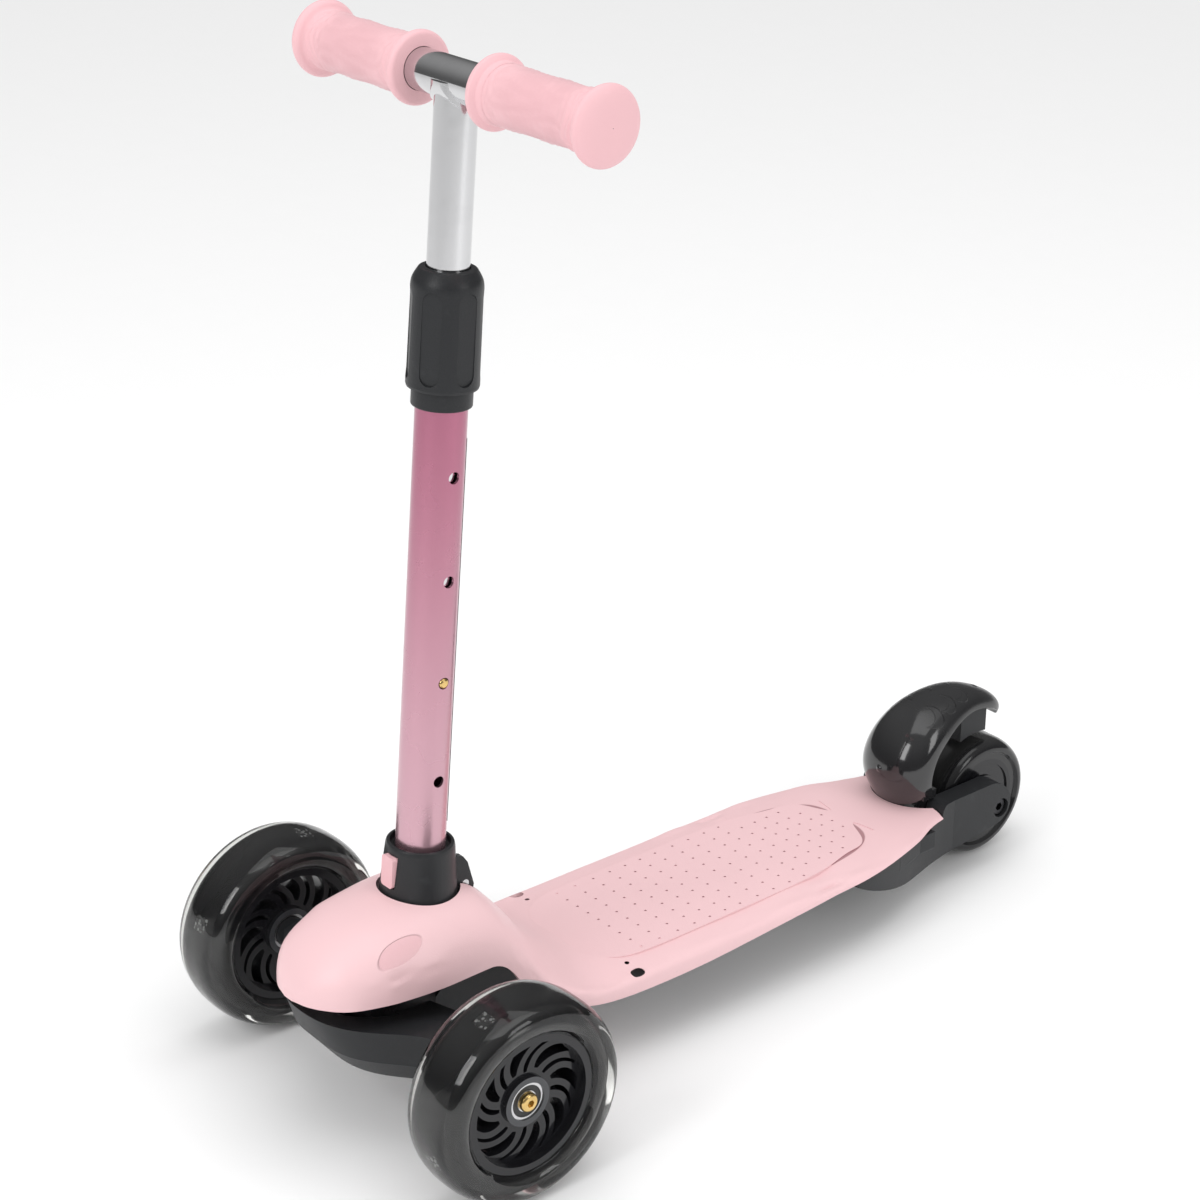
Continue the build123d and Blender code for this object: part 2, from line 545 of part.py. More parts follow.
with BuildPart() as chassis:
    # Plate under the deck with pockets open at the bottom
    with BuildSketch(plan(38)):
        with BuildLine():
            right = [(40.0, 120.0), (50.0, 140.0)]
            right += [(row[1] - SKIN - 0.4, row[0]) for row in STATIONS if 160 < row[0] < 380]
            right += [(43.5, TAIL_FORK_Y)]
            left = [(-x, y) for x, y in reversed(right)]
            Polyline(*right, *left, close=True)
        make_face()
    extrude(amount=FRAME_TOP - 38)
    fillet(chassis.edges().group_by(Axis.Z)[0], 3.0)
    with BuildSketch(plan(38)):
        for x in (-27.5, -9.2, 9.2, 27.5):
            for y in (160, 204, 255, 295):
                with Locations((x, y)):
                    RectangleRounded(15, 32, 3)
    extrude(amount=FRAME_TOP - 38 - 3, mode=Mode.SUBTRACT)
    # Both sides of the plate stay above the deck's side edge
    edge_line = [(y, min(z + EDGE_COVER, FRAME_TOP - 0.8)) for y, z in UNDER if 110 < y < 310]
    with BuildSketch(side(-70)):
        with BuildLine():
            Polyline((110, 30), (110, 46 + EDGE_COVER), *edge_line, (305, 30), close=True)
        make_face()
    extrude(amount=70 - KEEL_HALF, mode=Mode.SUBTRACT)
    with BuildSketch(side(KEEL_HALF)):
        with BuildLine():
            Polyline((110, 30), (110, 46 + EDGE_COVER), *edge_line, (305, 30), close=True)
        make_face()
    extrude(amount=70 - KEEL_HALF, mode=Mode.SUBTRACT)
    # Fork that carries the rear wheel
    with BuildSketch(plan(10)):
        with BuildLine():
            Spline((58.8, 305), (56.0, 330), (49.5, 355), (42.5, 375), (36.5, 398), (ARM_OUT, 415))
            Polyline(
                (ARM_OUT, 415), (ARM_OUT, 475), (ARM_IN, 475), (ARM_IN, TAIL_FORK_Y),
                (0, TAIL_FORK_Y), (0, 345), (30, 330), (58.8, 305),
            )
        make_face()
        mirror(about=Plane.YZ)
    extrude(amount=60)
    with BuildSketch(side(-90)):
        with BuildLine():
            Spline((300, 51.0), (318, 41), (337, 33), (360, 26.5), (395, 24.3), (430, 26), (455, 29.4))
            Spline((455, 29.4), (463, 32.5), (467.3, 40), (465.5, 50), (458, 57.5), (450, 60.3))
            Polyline((450, 60.3), (409, 60.3))
            Spline((409, 60.3), (404.6, 58.6), (403.0, 55), (402.6, 51.4))
            Polyline((402.6, 51.4), (300, 51.4), (300, 51.0))
        make_face()
        with Locations((190, 45)):
            Rectangle(222, 30)
    extrude(amount=180, mode=Mode.INTERSECT)
    # Neck over the steering pivot, up to the stem's seat
    with BuildSketch(side(-NECK_HALF)):
        with BuildLine():
            Polyline(
                (-18.7, 61.5), (-22.95, 65.75), (-14, 90), (-4, 106.5), (42, 106.5), (52, 104),
                (60, 100), (68, 88), (78, 73), (90, 59), (104, 51), (125, 51), (125, 38),
                (60, 33), (20, 33), (5.7, 37.1), (1.5, 41.3), (26.2, 66.0), (6.0, 86.2), close=True,
            )
        make_face()
    extrude(amount=2 * NECK_HALF)
    # Seat for the stem's foot
    with BuildSketch(stem(-9)):
        Circle(SEAT_R)
    extrude(amount=8 - FACE)
    # Hole for the pivot bolt, with room for its head and nut
    with BuildSketch(king(-60)):
        Circle(KING_BOLT_R + RUN)
    extrude(amount=100, mode=Mode.SUBTRACT)
    with BuildSketch(king(-70)):
        Circle(9.0)
    extrude(amount=70 - LUG_AT - LUG, mode=Mode.SUBTRACT)
    with BuildSketch(king(LUG_AT + LUG)):
        Circle(9.5)
    extrude(amount=9.0, mode=Mode.SUBTRACT)
    # Fin that carries the fold hinge
    with BuildSketch(side(-FIN_HALF)):
        with BuildLine():
            Polyline((41, 100), (60, 99), (56, 113), (51, 124), (41, 124), (41, 100))
        make_face()
        with Locations((FOLD_Y, FOLD_Z)):
            Circle(5.0)
    extrude(amount=2 * FIN_HALF)
    with BuildSketch(side(-20)):
        with Locations((FOLD_Y, FOLD_Z)):
            Circle(FOLD_PIN_R)
    extrude(amount=40, mode=Mode.SUBTRACT)
    # Pocket and lip for the fold latch
    with BuildSketch(stem(-9)):
        with Locations((0, -15.4)):
            Rectangle(8.4, 3.4)
    extrude(amount=12, mode=Mode.SUBTRACT)
    with BuildSketch(stem(-9)):
        with Locations((0, -17.2)):
            Rectangle(8.4, 5.0)
    extrude(amount=3.8, mode=Mode.SUBTRACT)
    # Counterbores for the deck screws
    with BuildSketch(plan(36)):
        with Locations(*DECK_SCREWS):
            Circle(4.3)
    extrude(amount=5, mode=Mode.SUBTRACT)
    with BuildSketch(plan(36)):
        with Locations(*DECK_SCREWS):
            Circle(2.1)
    extrude(amount=30, mode=Mode.SUBTRACT)
    # Rear axle holes and counterbores
    with BuildSketch(rear_mid.offset(-50)):
        Circle(REAR_SHAFT_R + 0.02)
    extrude(amount=100, mode=Mode.SUBTRACT)
    for start in (HEAD_SEAT, -60):
        with BuildSketch(rear_mid.offset(start)):
            Circle(6.5)
        extrude(amount=60 - HEAD_SEAT, mode=Mode.SUBTRACT)
    # Holes for the brake's pivot pin
    with BuildSketch(side(-27)):
        with Locations((BRAKE_Y, BRAKE_Z)):
            Circle(BRAKE_PIN_R)
    extrude(amount=54, mode=Mode.SUBTRACT)
chassis.part.label = "chassis"
export_step(chassis.part, "parts/chassis.step")


# ---------------------------------------------------------------- steering
BUSH_R = 9.0
# Sections of one half of the beam: distance out, then seven points round it as
# (distance behind the axle, height), from the top front edge down and round to the top.
BEAM = (
    (0, ((-60, 80), (-52, 60), (-37, 41), (6, 38), (17, 46), (15, 62), (-20, 70))),
    (20, ((-56, 79), (-49, 58), (-34, 41), (7, 39), (17, 47), (16, 64), (-18, 70))),
    (38, ((-42, 77), (-39, 57), (-25, 42), (8, 41), (17, 48), (16, 68), (-12, 74))),
    (57, ((-24, 77), (-23, 57), (-14, 44), (8, 43), (15, 50), (15, 71), (-5, 77.5))),
    (73, ((-15, 75), (-16, 58), (-9, 45), (9, 45), (14.5, 55), (13, 71), (-1, 77))),
    (88, ((-11, 71), (-13, 59), (-8, 48), (8, 48), (13, 59), (11, 71), (0, 74))),
)
with BuildPart() as beam:
    rows = [(-x, ring) for x, ring in reversed(BEAM[1:])] + list(BEAM)
    for x, ring in rows:
        with BuildSketch(side(x)):
            with BuildLine():
                Polyline(*ring, close=True)
            make_face()
    loft()
    with BuildSketch(king(-KING_HUB_L / 2)):
        Circle(KING_HUB_R)
    extrude(amount=KING_HUB_L)
    for start in (LUG_AT - 0.3, -80):
        with BuildSketch(king(start)):
            Circle(24.5)
        extrude(amount=80 - LUG_AT + 0.3, mode=Mode.SUBTRACT)
    with BuildSketch(king(-KING_HUB_L / 2)):
        Circle(BUSH_R)
    extrude(amount=KING_HUB_L, mode=Mode.SUBTRACT)
    for sgn in (1, -1):
        with BuildSketch(across(sgn * 80, 0, FRONT_R, sgn)):
            Circle(STUB_R)
        extrude(amount=ARM_END - FACE - 80)
        with BuildSketch(across(sgn * (ARM_END - 26), 0, FRONT_R, sgn)):
            Circle(AXLE_R + 0.02)
        extrude(amount=30, mode=Mode.SUBTRACT)
beam.part.label = "steering_beam"
export_step(beam.part, "parts/steering_beam.step")

for place, start in (("upper", 1.0), ("lower", -KING_HUB_L / 2 + 0.2)):
    # Rubber bush bonded in the beam's hub; its twist brings the wheels back straight.
    with BuildPart() as bush:
        with BuildSketch(king(start)):
            Circle(BUSH_R)
            Circle(KING_BOLT_R + RUN, mode=Mode.SUBTRACT)
        extrude(amount=KING_HUB_L / 2 - 1.2)
    bush.part.label = f"pivot_bush_{place}"
    export_step(bush.part, f"parts/pivot_bush_{place}.step")

with BuildPart() as king_bolt:
    with BuildSketch(king(-LUG_AT - LUG - 6)):
        Circle(8.0)
    extrude(amount=6)
    with BuildSketch(king(-LUG_AT - LUG)):
        Circle(KING_BOLT_R)
    extrude(amount=2 * (LUG_AT + LUG) + 7.5)
    with BuildSketch(king(-LUG_AT - LUG - 6)):
        RegularPolygon(3.4, 6)
    extrude(amount=3, mode=Mode.SUBTRACT)
king_bolt.part.label = "pivot_bolt"
export_step(king_bolt.part, "parts/pivot_bolt.step")

with BuildPart() as king_nut:
    with BuildSketch(king(LUG_AT + LUG)):
        RegularPolygon(8.5, 6)
        Circle(KING_BOLT_R + 0.02, mode=Mode.SUBTRACT)
    extrude(amount=7)
king_nut.part.label = "pivot_nut"
export_step(king_nut.part, "parts/pivot_nut.step")


# ---------------------------------------------------------------- stem foot and fold hinge
COLLAR_TOP = 41.0
EAR_OUT = 9.8
BUTTON_HALF = 5.0
BUTTON_LOW, BUTTON_HIGH = 18.0, 36.2
BUTTON_FACE = 22.0  # from the stem's axis
BUTTON_BACK = 16.1
LEAF_OUT = 16.0
LEAF_THICK = 0.8

with BuildPart() as collar:
    with BuildSketch(profile()):
        with BuildLine():
            Polyline((OUTER_R + 0.02, -1), (21.7, -1), (21.9, 1), (21.5, 12), (19.3, 38))
            Spline((19.3, 38), (18.9, 40), (17.9, COLLAR_TOP), tangents=((-0.08, 1), (-1, 0)))
            Polyline((17.9, COLLAR_TOP), (16.9, COLLAR_TOP), (16.6, 37.5), (15.2, 36.8))
            Polyline((15.2, 36.8), (OUTER_R + 0.02, 36.8), (OUTER_R + 0.02, -1))
        make_face()
    revolve(axis=Axis(stem(0).origin, stem(0).z_dir))
    # Ears of the fold hinge
    for start in (FIN_HALF + 0.3, -EAR_OUT):
        with BuildSketch(side(start)):
            with BuildLine():
                Polyline(
                    (32, 114.6), (46, 115.6), (51, 118), (52, 122), (48, 137),
                    (45, 141.5), (41, 143), (32, 143), close=True,
                )
            make_face()
        extrude(amount=EAR_OUT - FIN_HALF - 0.3)
    with BuildSketch(stem(-3)):
        Circle(OUTER_R + 0.02)
    extrude(amount=60, mode=Mode.SUBTRACT)
    # Clearance for the fin
    with BuildSketch(side(-FIN_HALF - 0.3)):
        with Locations((FOLD_Y, FOLD_Z)):
            Circle(5.8)
        with Locations((FOLD_Y - 5.8 + 6, FOLD_Z - 10)):
            Rectangle(12, 20)
    extrude(amount=2 * FIN_HALF + 0.6, mode=Mode.SUBTRACT)
    with BuildSketch(side(-20)):
        with Locations((FOLD_Y, FOLD_Z)):
            Circle(FOLD_PIN_R + RUN)
    extrude(amount=40, mode=Mode.SUBTRACT)
    # Window and pocket of the release button, and the channel of the latch
    with BuildSketch(stem(BUTTON_LOW - 0.25)):
        with Locations((0, -20)):
            Rectangle(2 * BUTTON_HALF + 0.5, 12)
    extrude(amount=BUTTON_HIGH - BUTTON_LOW + 0.5, mode=Mode.SUBTRACT)
    with BuildSketch(stem(BUTTON_LOW - 1.5)):
        with Locations((0, -14.9)):
            Rectangle(2 * BUTTON_HALF + 3.0, 5.8)
    extrude(amount=BUTTON_HIGH - BUTTON_LOW + 3.0, mode=Mode.SUBTRACT)
    with BuildSketch(stem(-1)):
        with Locations((0, -14.5)):
            Rectangle(8, 4.2)
    extrude(amount=38, mode=Mode.SUBTRACT)
collar.part.label = "stem_collar"
export_step(collar.part, "parts/stem_collar.step")

with BuildPart() as fold_pin:
    with BuildSketch(side(-EAR_OUT)):
        with Locations((FOLD_Y, FOLD_Z)):
            Circle(FOLD_PIN_R)
    extrude(amount=2 * EAR_OUT)
fold_pin.part.label = "fold_pin"
export_step(fold_pin.part, "parts/fold_pin.step")

with BuildPart() as button:
    with BuildSketch(stem(BUTTON_LOW)):
        with Locations((0, -(BUTTON_FACE + BUTTON_BACK) / 2)):
            Rectangle(2 * BUTTON_HALF, BUTTON_FACE - BUTTON_BACK)
    extrude(amount=BUTTON_HIGH - BUTTON_LOW)
    fillet(button.edges().filter_by(Axis.Y, tolerance=10).sort_by(Axis.Z)[0:4], 2.0)
    # Slanted face, proud at the foot and nearly flush at the top
    with BuildSketch(side(-10)):
        with BuildLine():
            Polyline((-12, 132), (-1.9, 132), (0.9, 153), (-12, 153), close=True)
        make_face()
    extrude(amount=20, mode=Mode.SUBTRACT)
    with BuildSketch(stem(BUTTON_LOW - 1.2)):
        with Locations((0, -BUTTON_BACK - 0.7)):
            Rectangle(2 * BUTTON_HALF + 2.4, 1.4)
    extrude(amount=BUTTON_HIGH - BUTTON_LOW + 2.4)
button.part.label = "fold_button"
export_step(button.part, "parts/fold_button.step")

# Spring-steel leaf behind the button; its hook catches under the frame's lip.
with BuildPart() as leaf:
    with BuildSketch(stem(-7.6)):
        with Locations((0, -LEAF_OUT + LEAF_THICK / 2)):
            Rectangle(7, LEAF_THICK)
    extrude(amount=43)
    with BuildSketch(stem(-7.6)):
        with Locations((0, -LEAF_OUT - 0.6)):
            Rectangle(7, 2.4)
    extrude(amount=1.8)
leaf.part.label = "latch_leaf"
export_step(leaf.part, "parts/latch_leaf.step")


# ---------------------------------------------------------------- stem tube
TUBE_LOW, TUBE_TOP = 3.0, 305.0
with BuildPart() as outer_tube:
    with BuildSketch(stem(TUBE_LOW)):
        Circle(OUTER_R)
        Circle(OUTER_R - OUTER_WALL, mode=Mode.SUBTRACT)
    extrude(amount=TUBE_TOP - TUBE_LOW)
    for s in HOLE_AT:
        with BuildSketch(bore(s)):
            Circle(HOLE_R)
        extrude(amount=20, mode=Mode.SUBTRACT)
outer_tube.part.label = "stem_tube"
export_step(outer_tube.part, "parts/stem_tube.step")

# Thin strip stuck along the back of the tube.
with BuildPart() as strip:
    with BuildSketch(stem(53)):
        with BuildLine():
            CenterArc((0, 0), OUTER_R + 0.25, 50, 80)
            CenterArc((0, 0), OUTER_R + 0.01, 50, 80)
            for a in (50, 130):
                c, q = cos(radians(a)), sin(radians(a))
                Line(((OUTER_R + 0.01) * c, (OUTER_R + 0.01) * q), ((OUTER_R + 0.25) * c, (OUTER_R + 0.25) * q))
        make_face()
    extrude(amount=219)
strip.part.label = "stem_strip"
export_step(strip.part, "parts/stem_strip.step")


# ---------------------------------------------------------------- twist clamp
BASE_LOW, BASE_TOP, THREAD_TOP = 290.0, 300.0, 326.0
SLEEVE_TOP = 363.0
THREAD_R = 15.2
with BuildPart() as clamp_base:
    with BuildSketch(stem(BASE_LOW)):
        Circle(16.2)
    extrude(amount=BASE_TOP - BASE_LOW)
    fillet(clamp_base.edges().group_by(Axis.Z)[0], 0.8)
    with BuildSketch(stem(BASE_TOP)):
        Circle(THREAD_R)
    extrude(amount=THREAD_TOP - BASE_TOP)
    with BuildSketch(stem(BASE_LOW)):
        Circle(OUTER_R + 0.02)
    extrude(amount=TUBE_TOP - BASE_LOW + 0.1, mode=Mode.SUBTRACT)
    with BuildSketch(stem(BASE_LOW)):
        Circle(INNER_R + RUN)
    extrude(amount=60, mode=Mode.SUBTRACT)
    with BuildSketch(stem(TUBE_TOP + 3)):
        with PolarLocations(13.5, 4, start_angle=45):
            Rectangle(6, 2)
    extrude(amount=30, mode=Mode.SUBTRACT)
clamp_base.part.label = "clamp_collet"
export_step(clamp_base.part, "parts/clamp_collet.step")

with BuildPart() as sleeve:
    with BuildSketch(profile()):
        with BuildLine():
            Polyline((THREAD_R + RUN, BASE_TOP + FACE), (18.9, BASE_TOP + FACE), (19.3, BASE_TOP + 1.5), (18.9, 352))
            Spline((18.9, 352), (18.2, 357), (15.8, 361.4), (13.2, SLEEVE_TOP), tangents=((0, 1), (-1, 0)))
            Polyline(
                (13.2, SLEEVE_TOP), (INNER_R + 0.4, SLEEVE_TOP), (INNER_R + 0.4, SLEEVE_TOP - 4),
                (12.9, SLEEVE_TOP - 7), (12.9, 334), (THREAD_R + RUN, 330), (THREAD_R + RUN, BASE_TOP + FACE),
            )
        make_face()
    revolve(axis=Axis(stem(0).origin, stem(0).z_dir))
    for k in range(6):
        turn = radians(30 + 60 * k)
        base = stem(328.5)
        out = base.x_dir * sin(turn) - base.y_dir * cos(turn)
        with BuildSketch(Plane(origin=base.origin + out * 18.0, x_dir=base.z_dir, z_dir=out)):
            SlotOverall(49, 11)
        extrude(amount=4, mode=Mode.SUBTRACT)
sleeve.part.label = "clamp_sleeve"
export_step(sleeve.part, "parts/clamp_sleeve.step")


# ---------------------------------------------------------------- handlebar
INNER_LOW = 112.0
BAR_HALF = 112.0
bar_origin = stem(BAR_AT).origin
with BuildPart() as inner_tube:
    with BuildSketch(stem(INNER_LOW)):
        Circle(INNER_R)
    extrude(amount=BAR_AT - INNER_LOW)
    with BuildSketch(stem(INNER_LOW - 1)):
        Circle(INNER_R - INNER_WALL)
    extrude(amount=BAR_AT - INNER_LOW + 2, mode=Mode.SUBTRACT)
    with BuildSketch(bore(BAR_AT, -20)):
        Circle(BAR_R)
    extrude(amount=40, mode=Mode.SUBTRACT)
    with BuildSketch(bore(HOLE_USED)):
        Circle(3.05)
    extrude(amount=20, mode=Mode.SUBTRACT)
inner_tube.part.label = "height_tube"
export_step(inner_tube.part, "parts/height_tube.step")

with BuildPart() as tube_bush:
    with BuildSketch(stem(INNER_LOW)):
        Circle(OUTER_R - OUTER_WALL - RUN)
        Circle(INNER_R + 0.01, mode=Mode.SUBTRACT)
    extrude(amount=14)
tube_bush.part.label = "height_bush"
export_step(tube_bush.part, "parts/height_bush.step")

with BuildPart() as crossbar:
    with BuildSketch(bore(BAR_AT, -BAR_HALF)):
        Circle(BAR_R)
        Circle(BAR_R - 1.5, mode=Mode.SUBTRACT)
    extrude(amount=2 * BAR_HALF)
crossbar.part.label = "crossbar"
export_step(crossbar.part, "parts/crossbar.step")

# Weld bead where the two tubes meet.
with BuildPart() as weld:
    with BuildSketch(stem(BAR_AT - 16)):
        Circle(INNER_R + 1.9)
    extrude(amount=16)
    with BuildSketch(bore(BAR_AT, -20)):
        Circle(BAR_R + 1.9)
    extrude(amount=40, mode=Mode.INTERSECT)
    with BuildSketch(bore(BAR_AT, -20)):
        Circle(BAR_R)
    extrude(amount=40, mode=Mode.SUBTRACT)
    with BuildSketch(stem(BAR_AT - 20)):
        Circle(INNER_R)
    extrude(amount=24, mode=Mode.SUBTRACT)
weld.part.label = "bar_weld"
export_step(weld.part, "parts/bar_weld.step")

for hand, sgn in (("left", 1), ("right", -1)):
    # Moulded grip with a flange at each end and shallow rings along the hand part.
    rings = []
    for k in range(17):
        x = 41.5 + 4.0 * k
        rings += [(x, 15.4), (x + 1.0, 14.6), (x + 3.0, 14.6)]
    with BuildPart() as grip:
        with BuildSketch(Plane(origin=bar_origin, x_dir=(sgn, 0, 0), z_dir=(0, -sgn, 0))):
            with BuildLine():
                Polyline((29.6, BAR_R + 0.01), (29.6, 17.4))
                Spline((29.6, 17.4), (32.4, 19.2), (35.2, 17.6), tangents=((0, 1), (0.2, -1)))
                Polyline((35.2, 17.6), (35.8, 16.0), (40.0, 15.4), *rings, (110.2, 15.6))
                Polyline((110.2, 15.6), (111.4, 18.6))
                Spline((111.4, 18.6), (114.6, 20.3), (118.0, 17.0), (119.6, 9.0), (120.0, 0.0))
                Polyline(
                    (120.0, 0.0), (BAR_HALF + 0.1, 0.0), (BAR_HALF + 0.1, BAR_R + 0.01),
                    (29.6, BAR_R + 0.01),
                )
            make_face()
        revolve(axis=Axis(bar_origin, (1, 0, 0)))
    grip.part.label = f"grip_{hand}"
    export_step(grip.part, f"parts/grip_{hand}.step")

# Brass stud of the height catch and the bent spring that pushes it out.
with BuildPart() as stud:
    with BuildSketch(bore(HOLE_USED, 8.4)):
        Circle(2.9)
    extrude(amount=6.4)
    fillet(stud.faces().sort_by(Axis.X)[-1].edges(), 1.6)
stud.part.label = "height_stud"
export_step(stud.part, "parts/height_stud.step")

with BuildPart() as clip:
    with BuildSketch(profile().offset(-4)):
        with BuildLine():
            at = HOLE_USED
            Polyline(
                (8.4, at + 6), (8.4, at - 6), (1.8, at - 22.4), (-1.8, at - 22.4), (-9.0, at + 4),
                (-8.2, at + 4.2), (-1.2, at - 21.6), (1.2, at - 21.6), (7.6, at - 5.8),
                (7.6, at + 6), close=True,
            )
        make_face()
    extrude(amount=8)
clip.part.label = "height_spring"
export_step(clip.part, "parts/height_spring.step")


# ---------------------------------------------------------------- rear brake
FENDER_Y, FENDER_Z = 437.0, 66.0  # centre the brake's arch is measured from
FENDER_WALL = 2.6
ARCH_POWER = 2.2
# Sections round the centre: angle up from straight ahead, radius of the crest, depth of
# the arch, half width.
FENDER = (
    (-22, 48.5, 20, 20.0), (-12, 51.4, 21, 22.6), (0, 55.6, 21.5, 25.4), (12, 59.0, 21.5, 26.8),
    (25, 59.7, 20.5, 27.0), (40, 59.0, 19.5, 26.0), (55, 57.4, 18.5, 24.5), (72, 54.9, 15.5, 22.3),
    (89, 53.6, 12.5, 20.0), (104, 53.7, 10.8, 18.0), (120, 54.5, 9.6, 16.2), (134, 55.7, 8.4, 13.8),
    (143, 55.5, 7.5, 10.5), (148.5, 54.6, 6.0, 6.0),
)


def around(angle):
    """Plane through the arch's centre line at an angle; its own y points outward."""
    a = radians(angle)
    at = (0, FRONT_AXLE_Y + FENDER_Y, FENDER_Z)
    return Plane(origin=at, x_dir=(1, 0, 0), z_dir=(0, -sin(a), -cos(a)))


def arch(crest, depth, half_w, extra):
    """Half-round arch: (x / half_w)**n + (rise / depth)**n = 1, on legs of the extra length."""
    pts = []
    for k in range(17):
        t = radians(180 * k / 16)
        x = half_w * abs(cos(t)) ** (2 / ARCH_POWER) * (1 if k < 8 else -1 if k > 8 else 0)
        pts.append((x, crest - depth + depth * sin(t) ** (2 / ARCH_POWER)))
    return [(half_w, crest - depth - extra)] + pts + [(-half_w, crest - depth - extra)]


with BuildPart() as fender:
    for angle, crest, depth, half_w in FENDER:
        with BuildSketch(around(angle)):
            with BuildLine():
                pts = arch(crest, depth, half_w, 0)
                Spline(*pts[1:-1])
                Line(pts[-2], pts[1])
            make_face()
    loft()
    for angle, crest, depth, half_w in ((-30, 45.5, 20, 18.5),) + FENDER[:11]:
        with BuildSketch(around(angle)):
            with BuildLine():
                pts = arch(crest - FENDER_WALL, depth - FENDER_WALL, half_w - FENDER_WALL, 6)
                Spline(*pts[1:-1])
                Polyline(pts[-2], pts[-1], pts[0], pts[1])
            make_face()
    loft(mode=Mode.SUBTRACT)
    with BuildSketch(side(-40)):
        with Locations((430, 50.6)):
            Rectangle(100, 21)
    extrude(amount=40 - 20.3, mode=Mode.SUBTRACT)
    with BuildSketch(side(20.3)):
        with Locations((430, 50.6)):
            Rectangle(100, 21)
    extrude(amount=20, mode=Mode.SUBTRACT)
    for start in (14.0, -20.3):
        with BuildSketch(side(start)):
            with Locations((BRAKE_Y, BRAKE_Z)):
                Circle(5.5)
            with Locations((BRAKE_Y, BRAKE_Z + 9)):
                Rectangle(11, 18)
        extrude(amount=6.3)
    for start in (14.0, -24.2):
        with BuildSketch(side(start)):
            with Locations((BRAKE_Y, 64.5)):
                Rectangle(11, 6)
        extrude(amount=10.2)
    with BuildSketch(side(-30)):
        with Locations((BRAKE_Y, BRAKE_Z)):
            Circle(BRAKE_PIN_R + RUN)
    extrude(amount=60, mode=Mode.SUBTRACT)
fender.part.label = "brake_fender"
export_step(fender.part, "parts/brake_fender.step")

# Friction block under the arch, shaped to the tyre below and to the arch above.
with BuildPart() as pad:
    with BuildSketch(side(-9)):
        with Locations((455.5, 96)):
            Rectangle(23, 32)
    extrude(amount=18)
    with BuildSketch(rear_mid.offset(-30)):
        Circle(REAR_R + 4.8)
    extrude(amount=60, mode=Mode.SUBTRACT)
    with BuildSketch(side(-30)):
        with Locations((FENDER_Y, FENDER_Z)):
            Circle(52.3)
    extrude(amount=60, mode=Mode.INTERSECT)
    add(fender.part, mode=Mode.SUBTRACT)
pad.part.label = "brake_pad"
export_step(pad.part, "parts/brake_pad.step")

with BuildPart() as brake_pin:
    with BuildSketch(side(-26.8)):
        with Locations((BRAKE_Y, BRAKE_Z)):
            Circle(BRAKE_PIN_R)
    extrude(amount=53.6)
brake_pin.part.label = "brake_pin"
export_step(brake_pin.part, "parts/brake_pin.step")

with BuildPart() as brake_spring:
    with BuildSketch(side(-SPRING_HALF)):
        with Locations((BRAKE_Y, BRAKE_Z)):
            Circle(5.0)
            Circle(3.4, mode=Mode.SUBTRACT)
    extrude(amount=2 * SPRING_HALF)
brake_spring.part.label = "brake_spring"
export_step(brake_spring.part, "parts/brake_spring.step")
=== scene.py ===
from math import cos, pi, radians, sin

import bmesh
import bpy
import numpy as np
from mathutils import Matrix, Vector


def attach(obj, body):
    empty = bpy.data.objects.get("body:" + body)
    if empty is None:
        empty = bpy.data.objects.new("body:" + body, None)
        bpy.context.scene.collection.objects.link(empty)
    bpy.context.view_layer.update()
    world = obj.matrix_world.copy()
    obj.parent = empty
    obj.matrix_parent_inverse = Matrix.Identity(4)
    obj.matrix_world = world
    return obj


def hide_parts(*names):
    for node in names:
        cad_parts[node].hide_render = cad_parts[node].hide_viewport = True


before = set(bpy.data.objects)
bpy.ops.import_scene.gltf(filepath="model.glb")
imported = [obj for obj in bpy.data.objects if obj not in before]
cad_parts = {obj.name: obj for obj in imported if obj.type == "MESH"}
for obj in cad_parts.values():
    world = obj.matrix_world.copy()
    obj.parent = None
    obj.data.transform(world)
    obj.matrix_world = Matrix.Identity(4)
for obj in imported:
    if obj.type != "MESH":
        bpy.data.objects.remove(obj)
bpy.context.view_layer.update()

# ---------------------------------------------------------------- front wheels: black cores
# Each front wheel is a glossy black plastic core: a broad band, a thin web pierced by curved
# spokes and a grey boss that holds two ball bearings. It is moulded in one shot.

AXLE_Y = -0.21605
FRONT_R = 0.060
HALF_TRACK = 0.1114


def dress(node, material):
    """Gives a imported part, whose shape is kept, its finish."""
    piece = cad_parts[node]
    if not piece.material_slots:
        piece.data.materials.append(material)
    for place in piece.material_slots:
        place.material = material


def blank_material(name, **sockets):
    """A new node material with the shader's own sockets set, returned with its parts."""
    material = bpy.data.materials.new(name)
    material.use_nodes = True
    tree = material.node_tree
    shader = tree.nodes["Principled BSDF"]
    for socket, value in sockets.items():
        shader.inputs[socket.replace("_", " ")].default_value = value
    return material, tree, shader


def wire(tree, start, end):
    tree.links.new(start, end)


def arith(tree, operation, a, b=None, clamp=False):
    """One arithmetic node; a and b are sockets or numbers."""
    node = tree.nodes.new("ShaderNodeMath")
    node.operation = operation
    node.use_clamp = clamp
    for socket, value in zip(node.inputs, (a, b)):
        if value is None:
            continue
        if isinstance(value, (int, float)):
            socket.default_value = value
        else:
            wire(tree, value, socket)
    return node.outputs[0]


